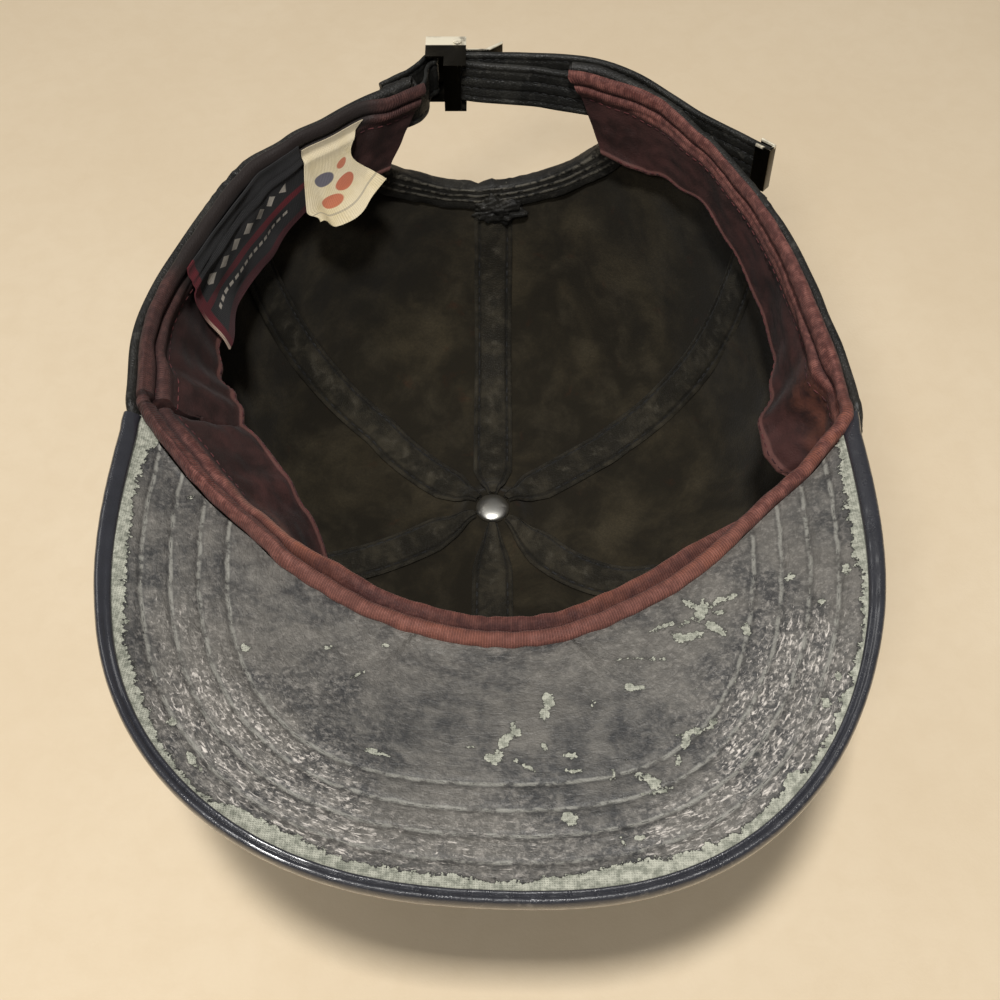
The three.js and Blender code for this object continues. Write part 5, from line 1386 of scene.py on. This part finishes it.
def strip_piece(name, path, wall, low, high, ridges, droop=0.0):
    """A strap on edge along a path in plan, with its edges rounded and its rows of stitching sunk."""
    half = (high - low) / 2
    side = [(-1, -half + 0.5), (-1, half - 0.5), (-0.6, half), (0.6, half), (1, half - 0.5), (1, -half + 0.5),
            (0.6, -half), (-0.6, -half), (-1, -half + 0.5)]
    outline = along_line(np.array(side), np.linspace(0, 1, 97))[:-1]
    count, steps = len(outline), len(path)
    slope = unit(np.gradient(path, axis=0))
    share = np.linspace(0, 1, steps)
    sag = droop * smooth(0.68, 0.86, share)
    groove = 0.28 * sum(np.exp(-((outline[:, 1] - ridge) / 0.5) ** 2) for ridge in ridges)
    swell = 1 + 0.12 * np.cos(outline[:, 1] * 1.1)
    reach = outline[:, 0] * (wall / 2) * swell - np.sign(outline[:, 0]) * groove
    points = np.empty((steps, count, 3))
    wave = 0.12 * soft_noise(np.stack([share * 120, share * 0], -1), 11, 81)
    for axis, turn in ((0, -slope[:, 1]), (1, slope[:, 0])):
        points[:, :, axis] = path[:, None, axis] + turn[:, None] * (reach[None, :] + wave[:, None])
    points[:, :, 2] = (low + high) / 2 + outline[None, :, 1] - sag[:, None]
    piece = joined(name, [(points.reshape(-1, 3) * MM, tube_faces(steps, count))])
    face_outwards(piece)
    return piece


def strip_rows(path, wall, middle, ridges, droop=0.0):
    """Lines for the stitches on both faces of a strap."""
    slope = unit(np.gradient(path, axis=0))
    sag = droop * smooth(0.68, 0.86, np.linspace(0, 1, len(path)))
    rows = []
    for side in (-1, 1):
        normal = np.column_stack([-slope[:, 1] * side, slope[:, 0] * side, np.zeros(len(path))])
        for ridge in ridges:
            line = np.column_stack([path, middle + ridge - sag]) + normal * (wall / 2 - 0.2)
            rows.append((line, normal))
    return rows


def make_straps():
    strap_path = folded_path(STRAP_PATH, STRAP_BAR, 1.6, -80, -275, STRAP_BACK)
    ridges = (-5, -1.8, 1.8, 5)
    strap = strip_piece("strap_leather", strap_path, 1.6, 101, 115, ridges, droop=2.8)
    settle(strap, "strap", finish=FINISHES["strap"], angle=50)
    loop_path = folded_path(LOOP_PATH, LOOP_BAR, 1.2, -75, 150, LOOP_BACK)
    loop = strip_piece("loop_leather", loop_path, 1.2, 101.8, 114.3, (-4.4, 4.4))
    settle(loop, "tab_loop", finish=FINISHES["strap"], angle=50)
    rows = strip_rows(strap_path, 1.6, 108, ridges, 2.8) + strip_rows(loop_path, 1.2, 108.05, (-4.4, 4.4))
    stitches("strap_stitching", rows, 0.2, finish=FINISHES["thread"], length=2.0, gap=0.6)
    tip = reworked_copy("strap_tip", "strap_end_metal", 0, sharp=30, bevel=0.25)
    mark_top(tip, 1.6)
    settle(tip, "strap_tip", finish=FINISHES["dark_metal"], angle=35)


def mark_top(piece, depth):
    """Marks a metal piece's upper edge, where its finish paints a highlight."""
    height = places_of(piece)[:, 2] / MM
    mark(piece, "top", np.full(len(height), height.max() - depth))
    mark(piece, "back", np.full(len(height), places_of(piece)[:, 1].max() / MM - 4.5))


def make_buckle():
    for node, name, body, width in (("buckle_frame", "buckle_plates", "cap", 0.18),
                                    ("buckle_pin", "buckle_pivot", "cap", 0.1),
                                    ("buckle_lever", "buckle_clasp", "lever", 0.2)):
        piece = reworked_copy(node, name, 0, sharp=30, bevel=width)
        mark_top(piece, 1.2)
        settle(piece, node, body, FINISHES["dark_metal"], angle=35)


def inside_crown(points):
    """Whether plan places lie inside the crown's rim, with a little to spare."""
    ring = crown_point(np.linspace(0, 360, 361), np.full(361, RIM_EDGE))[:, :2]
    centre = ring.mean(0)
    ring_turn = np.arctan2(*(ring - centre).T[::-1])
    order = np.argsort(ring_turn)
    turn = np.arctan2(*(points - centre).T[::-1])
    limit = np.interp(turn, ring_turn[order], np.linalg.norm(ring - centre, axis=1)[order], period=2 * np.pi)
    return np.linalg.norm(points - centre, axis=1) < limit + 1.5


def make_stitching(sizes):
    brim_rows = []
    for inward in BRIM_ROWS:
        run = np.arange(-4, BRIM_RUN[-1] - 2, 1.0)
        at = edge_place(run, np.full(len(run), inward))
        at = at[~inside_crown(at)]
        at = at[from_edge(at[:, 0], at[:, 1])[0] > inward - 0.8]
        line = np.column_stack([at, brim_height(at[:, 0], at[:, 1]) + brim_relief(at[:, 0], at[:, 1])])
        brim_rows.append((line, np.tile((0.0, -0.15, 1.0), (len(line), 1))))
    stitches("brim_stitching", brim_rows, sizes.brim_thread * MM_IN_M,
             FINISHES["worn_thread"], sink=0.07, length=2.7, gap=0.6)
    under = [(line - (0, 0, 3.05), -normal) for line, normal in brim_rows]
    stitches("brim_under_stitching", under, 0.2, finish=FINISHES["thread"], sink=0.0)
    seam_rows, tape_rows = [], []
    for seam in SEAMS:
        top = BACK_SEAM_END if seam == "back" else RIM_EDGE
        level = np.linspace(LOWEST_STITCH, top - 0.4, 140)
        middle = seam_angle(seam, level)
        for side in (-1, 1):
            angle = middle + side * SEAM_STITCHES / arc_of_degree(middle, level)
            normal = crown_normal(angle, level)
            full = not seam.startswith("front")
            seam_rows.append((crown_point(angle, level, full) - normal * 0.02, normal))
            level_in = np.linspace(3.6, 10.2 if seam == "back" else 12.6, 120)
            middle_in = seam_angle(seam, level_in)
            angle_in = middle_in + side * TAPE_STITCHES * TAPE_HALF / arc_of_degree(middle_in, level_in)
            inset = inner_wall(level_in) + 0.8
            tape_rows.append((crown_inset(angle_in, level_in, inset), -crown_normal(angle_in, level_in)))
    thread = sizes.seam_thread * MM_IN_M
    stitches("seam_stitching", seam_rows, thread, finish=FINISHES["thread"], sink=-0.02)
    stitches("tape_stitching", tape_rows, thread, FINISHES["thread"], sink=-0.02)
    rows = []
    for along, proud, start, end in ((3.7, 1.55, 166, 426), (9.9, 1.4, 104.5, 435), (31.6, 2.05, 106, 434)):
        angle = np.linspace(start + 1, end - 1, 300)
        line = band_point(angle, np.full(300, along), np.full(300, proud))
        out = band_point(angle, np.full(300, along), np.full(300, proud + 0.5))
        rows.append((line, unit(out - line)))
    stitches("band_stitching", rows, 0.2, FINISHES["red_thread"], sink=-0.02, length=2.1)
    rim = []
    for start, end in ((348, 426), (114, 192)):
        angle = np.linspace(start, end, 200)
        level = np.full(200, 13.75)
        normal = crown_normal(angle, level)
        rim.append((crown_point(angle, level) + normal * 0.02, normal))
    stitches("rim_stitching", rim, thread, finish=FINISHES["thread"], sink=-0.05)


# The lights: name, place and size in metres, power in watts
LIGHTS = (("top_light", (-0.04, -0.36, 1.02), 0.09, 8.2), ("front_light", (-0.35, -1.0, 1.2), 0.2, 4.8),
          ("back_light", (-0.6, 0.7, 1.0), 0.5, 1.6))
LIGHT_COLOUR = (1.0, 0.985, 0.96)


def make_stage():
    let_go()
    bpy.ops.mesh.primitive_grid_add(x_subdivisions=60, y_subdivisions=60, size=6)
    floor = bpy.context.object
    floor.name = floor.data.name = "floor"
    floor.data.materials.append(FINISHES["floor"])
    target = Vector((0.0, -0.02, 0.06))
    for name, place, size, power in LIGHTS:
        lamp = bpy.data.lights.new(name, "AREA")
        lamp.size, lamp.energy = size, power
        lamp.color = LIGHT_COLOUR
        holder = bpy.data.objects.new(name, lamp)
        bpy.context.scene.collection.objects.link(holder)
        holder.location = place
        holder.rotation_euler = (target - Vector(place)).to_track_quat("-Z", "Y").to_euler()
    bpy.context.scene.view_settings.view_transform = "Standard"
    world = bpy.data.worlds.new("studio")
    world.use_nodes = True
    world.node_tree.nodes["Background"].inputs["Color"].default_value = (*LIGHT_COLOUR, 1.0)
    world.node_tree.nodes["Background"].inputs["Strength"].default_value = 0.165
    bpy.context.scene.world = world
    camera = bpy.data.cameras.new("camera")
    camera.lens, camera.sensor_width = 52.2, 36.0
    camera.clip_start, camera.clip_end = 0.01, 20.0
    holder = bpy.data.objects.new("camera", camera)
    holder.location = (0.0024, -0.2799, 0.382)
    holder.rotation_euler = (math.radians(90 - 53), 0.0, 0.0)
    bpy.context.scene.collection.objects.link(holder)
    bpy.context.scene.camera = holder


# The add-on


class CapSizes(bpy.types.PropertyGroup):
    """The sizes that a user may change"""

    pucker_depth: bpy.props.FloatProperty(
        name="Pucker depth", description="Height of the gathers along the seams",
        default=0.00028, min=0.0, max=0.001, unit="LENGTH")
    lie_depth: bpy.props.FloatProperty(
        name="Soft dents", description="How far the crown's wall waves in and out",
        default=0.0011, min=0.0, max=0.003, unit="LENGTH")
    brim_thread: bpy.props.FloatProperty(
        name="Brim thread", description="Half the thickness of the brim's thread",
        default=0.00012, min=0.00005, max=0.0005, unit="LENGTH")
    seam_thread: bpy.props.FloatProperty(
        name="Seam thread", description="Half the thickness of the other threads",
        default=0.00022, min=0.00005, max=0.0005, unit="LENGTH")


def colour_choice(name, description, shade):
    """A colour that a user may change, with its default as it was judged."""
    return bpy.props.FloatVectorProperty(name=name, description=description, default=tint(*shade), size=4,
                                         min=0.0, max=1.0, subtype="COLOR")


class CapColours(bpy.types.PropertyGroup):
    """The colours that a user may change"""

    leather: colour_choice("Leather", "The outside leather in its dark places", (29, 28, 26))
    leather_light: colour_choice("Leather, light", "The outside leather in its light places", (47, 45, 41))
    suede: colour_choice("Suede", "The inside of the crown in its dark places", (38, 34, 26))
    suede_light: colour_choice("Suede, light", "The inside of the crown in its light places", (64, 57, 43))
    sweatband: colour_choice("Sweatband", "The sweatband's face in its light places", (66, 38, 35))
    piping: colour_choice("Piping", "The ribbed roll of the sweatband in its light places", (142, 90, 80))
    label: colour_choice("Label", "The stripe and borders of the woven label", (96, 26, 34))
    tag: colour_choice("Tag", "The care tag's cloth in its light places", (252, 236, 200))
    rivet: colour_choice("Rivet", "The bright metal of the button's rivet", (236, 234, 226))
    buckle: colour_choice("Buckle", "The dull metal of the buckle and the strap's end", (64, 60, 52))
    thread: colour_choice("Thread", "The black thread in its light places", (44, 44, 44))


class CAP_OT_finishes(bpy.types.Operator):
    """Mix the leathers, cloths, threads and metals"""

    bl_idname = "cap.finishes"
    bl_label = "Finishes"
    bl_options = {"REGISTER", "UNDO"}

    def execute(self, context):
        make_finishes(context.scene.cap_colours)
        return {"FINISHED"}


class CAP_OT_crown(bpy.types.Operator):
    """Lay the six leather panels"""

    bl_idname = "cap.crown"
    bl_label = "Crown"
    bl_options = {"REGISTER", "UNDO"}

    def execute(self, context):
        make_crown(context.scene.cap_sizes)
        return {"FINISHED"}


class CAP_OT_tapes(bpy.types.Operator):
    """Lay the padded tapes over the seams inside"""

    bl_idname = "cap.tapes"
    bl_label = "Seam tapes"
    bl_options = {"REGISTER", "UNDO"}

    def execute(self, context):
        make_tapes()
        return {"FINISHED"}


class CAP_OT_button(bpy.types.Operator):
    """Make the covered button and its rivet"""

    bl_idname = "cap.button"
    bl_label = "Button"
    bl_options = {"REGISTER", "UNDO"}

    def execute(self, context):
        make_button()
        return {"FINISHED"}


class CAP_OT_brim(bpy.types.Operator):
    """Make the worn brim"""

    bl_idname = "cap.brim"
    bl_label = "Brim"
    bl_options = {"REGISTER", "UNDO"}

    def execute(self, context):
        make_brim()
        return {"FINISHED"}


class CAP_OT_hem(bpy.types.Operator):
    """Wrap the hem over the brim's edge"""

    bl_idname = "cap.hem"
    bl_label = "Brim hem"
    bl_options = {"REGISTER", "UNDO"}

    def execute(self, context):
        make_hem()
        return {"FINISHED"}


class CAP_OT_arch(bpy.types.Operator):
    """Bind the arch at the back"""

    bl_idname = "cap.arch"
    bl_label = "Arch binding"
    bl_options = {"REGISTER", "UNDO"}

    def execute(self, context):
        make_arch()
        return {"FINISHED"}


class CAP_OT_band(bpy.types.Operator):
    """Make the sweatband with its rolled piping"""

    bl_idname = "cap.band"
    bl_label = "Sweatband"
    bl_options = {"REGISTER", "UNDO"}

    def execute(self, context):
        make_band()
        return {"FINISHED"}


class CAP_OT_trims(bpy.types.Operator):
    """Sew in the label and the tag"""

    bl_idname = "cap.trims"
    bl_label = "Label and tag"
    bl_options = {"REGISTER", "UNDO"}

    def execute(self, context):
        make_trims()
        return {"FINISHED"}


class CAP_OT_straps(bpy.types.Operator):
    """Make the strap, the loop and the strap's metal end"""

    bl_idname = "cap.straps"
    bl_label = "Straps"
    bl_options = {"REGISTER", "UNDO"}

    def execute(self, context):
        make_straps()
        return {"FINISHED"}


class CAP_OT_buckle(bpy.types.Operator):
    """Finish the buckle's frame, pin and lever"""

    bl_idname = "cap.buckle"
    bl_label = "Buckle"
    bl_options = {"REGISTER", "UNDO"}

    def execute(self, context):
        make_buckle()
        return {"FINISHED"}


class CAP_OT_stitching(bpy.types.Operator):
    """Sew the rows of stitches"""

    bl_idname = "cap.stitching"
    bl_label = "Stitching"
    bl_options = {"REGISTER", "UNDO"}

    def execute(self, context):
        make_stitching(context.scene.cap_sizes)
        return {"FINISHED"}


class CAP_OT_stage(bpy.types.Operator):
    """Set the floor, the lights and the camera"""

    bl_idname = "cap.stage"
    bl_label = "Stage"
    bl_options = {"REGISTER", "UNDO"}

    def execute(self, context):
        make_stage()
        return {"FINISHED"}


class CAP_PT_pieces(bpy.types.Panel):
    """Lists the cap's sizes, colours and pieces"""

    bl_label = "Leather cap"
    bl_idname = "CAP_PT_pieces"
    bl_space_type = "VIEW_3D"
    bl_region_type = "UI"
    bl_category = "Cap"

    def draw(self, context):
        for choices in (context.scene.cap_sizes, context.scene.cap_colours):
            for name in type(choices).__annotations__:
                self.layout.prop(choices, name)
        for piece in OPERATORS:
            self.layout.operator(piece.bl_idname)


OPERATORS = (CAP_OT_finishes, CAP_OT_crown, CAP_OT_tapes, CAP_OT_button, CAP_OT_brim, CAP_OT_hem, CAP_OT_arch,
             CAP_OT_band, CAP_OT_trims, CAP_OT_straps, CAP_OT_buckle, CAP_OT_stitching, CAP_OT_stage)


def register():
    for cls in (CapSizes, CapColours, *OPERATORS, CAP_PT_pieces):
        bpy.utils.register_class(cls)
    bpy.types.Scene.cap_sizes = bpy.props.PointerProperty(type=CapSizes)
    bpy.types.Scene.cap_colours = bpy.props.PointerProperty(type=CapColours)


def unregister():
    del bpy.types.Scene.cap_sizes, bpy.types.Scene.cap_colours
    for cls in (CAP_PT_pieces, *reversed(OPERATORS), CapColours, CapSizes):
        bpy.utils.unregister_class(cls)


def main():
    register()
    bpy.ops.cap.finishes()
    bpy.ops.cap.crown()
    bpy.ops.cap.tapes()
    bpy.ops.cap.button()
    bpy.ops.cap.brim()
    bpy.ops.cap.hem()
    bpy.ops.cap.arch()
    bpy.ops.cap.band()
    bpy.ops.cap.trims()
    bpy.ops.cap.straps()
    bpy.ops.cap.buckle()
    bpy.ops.cap.stitching()
    bpy.ops.cap.stage()


if __name__ == "__main__":
    main()
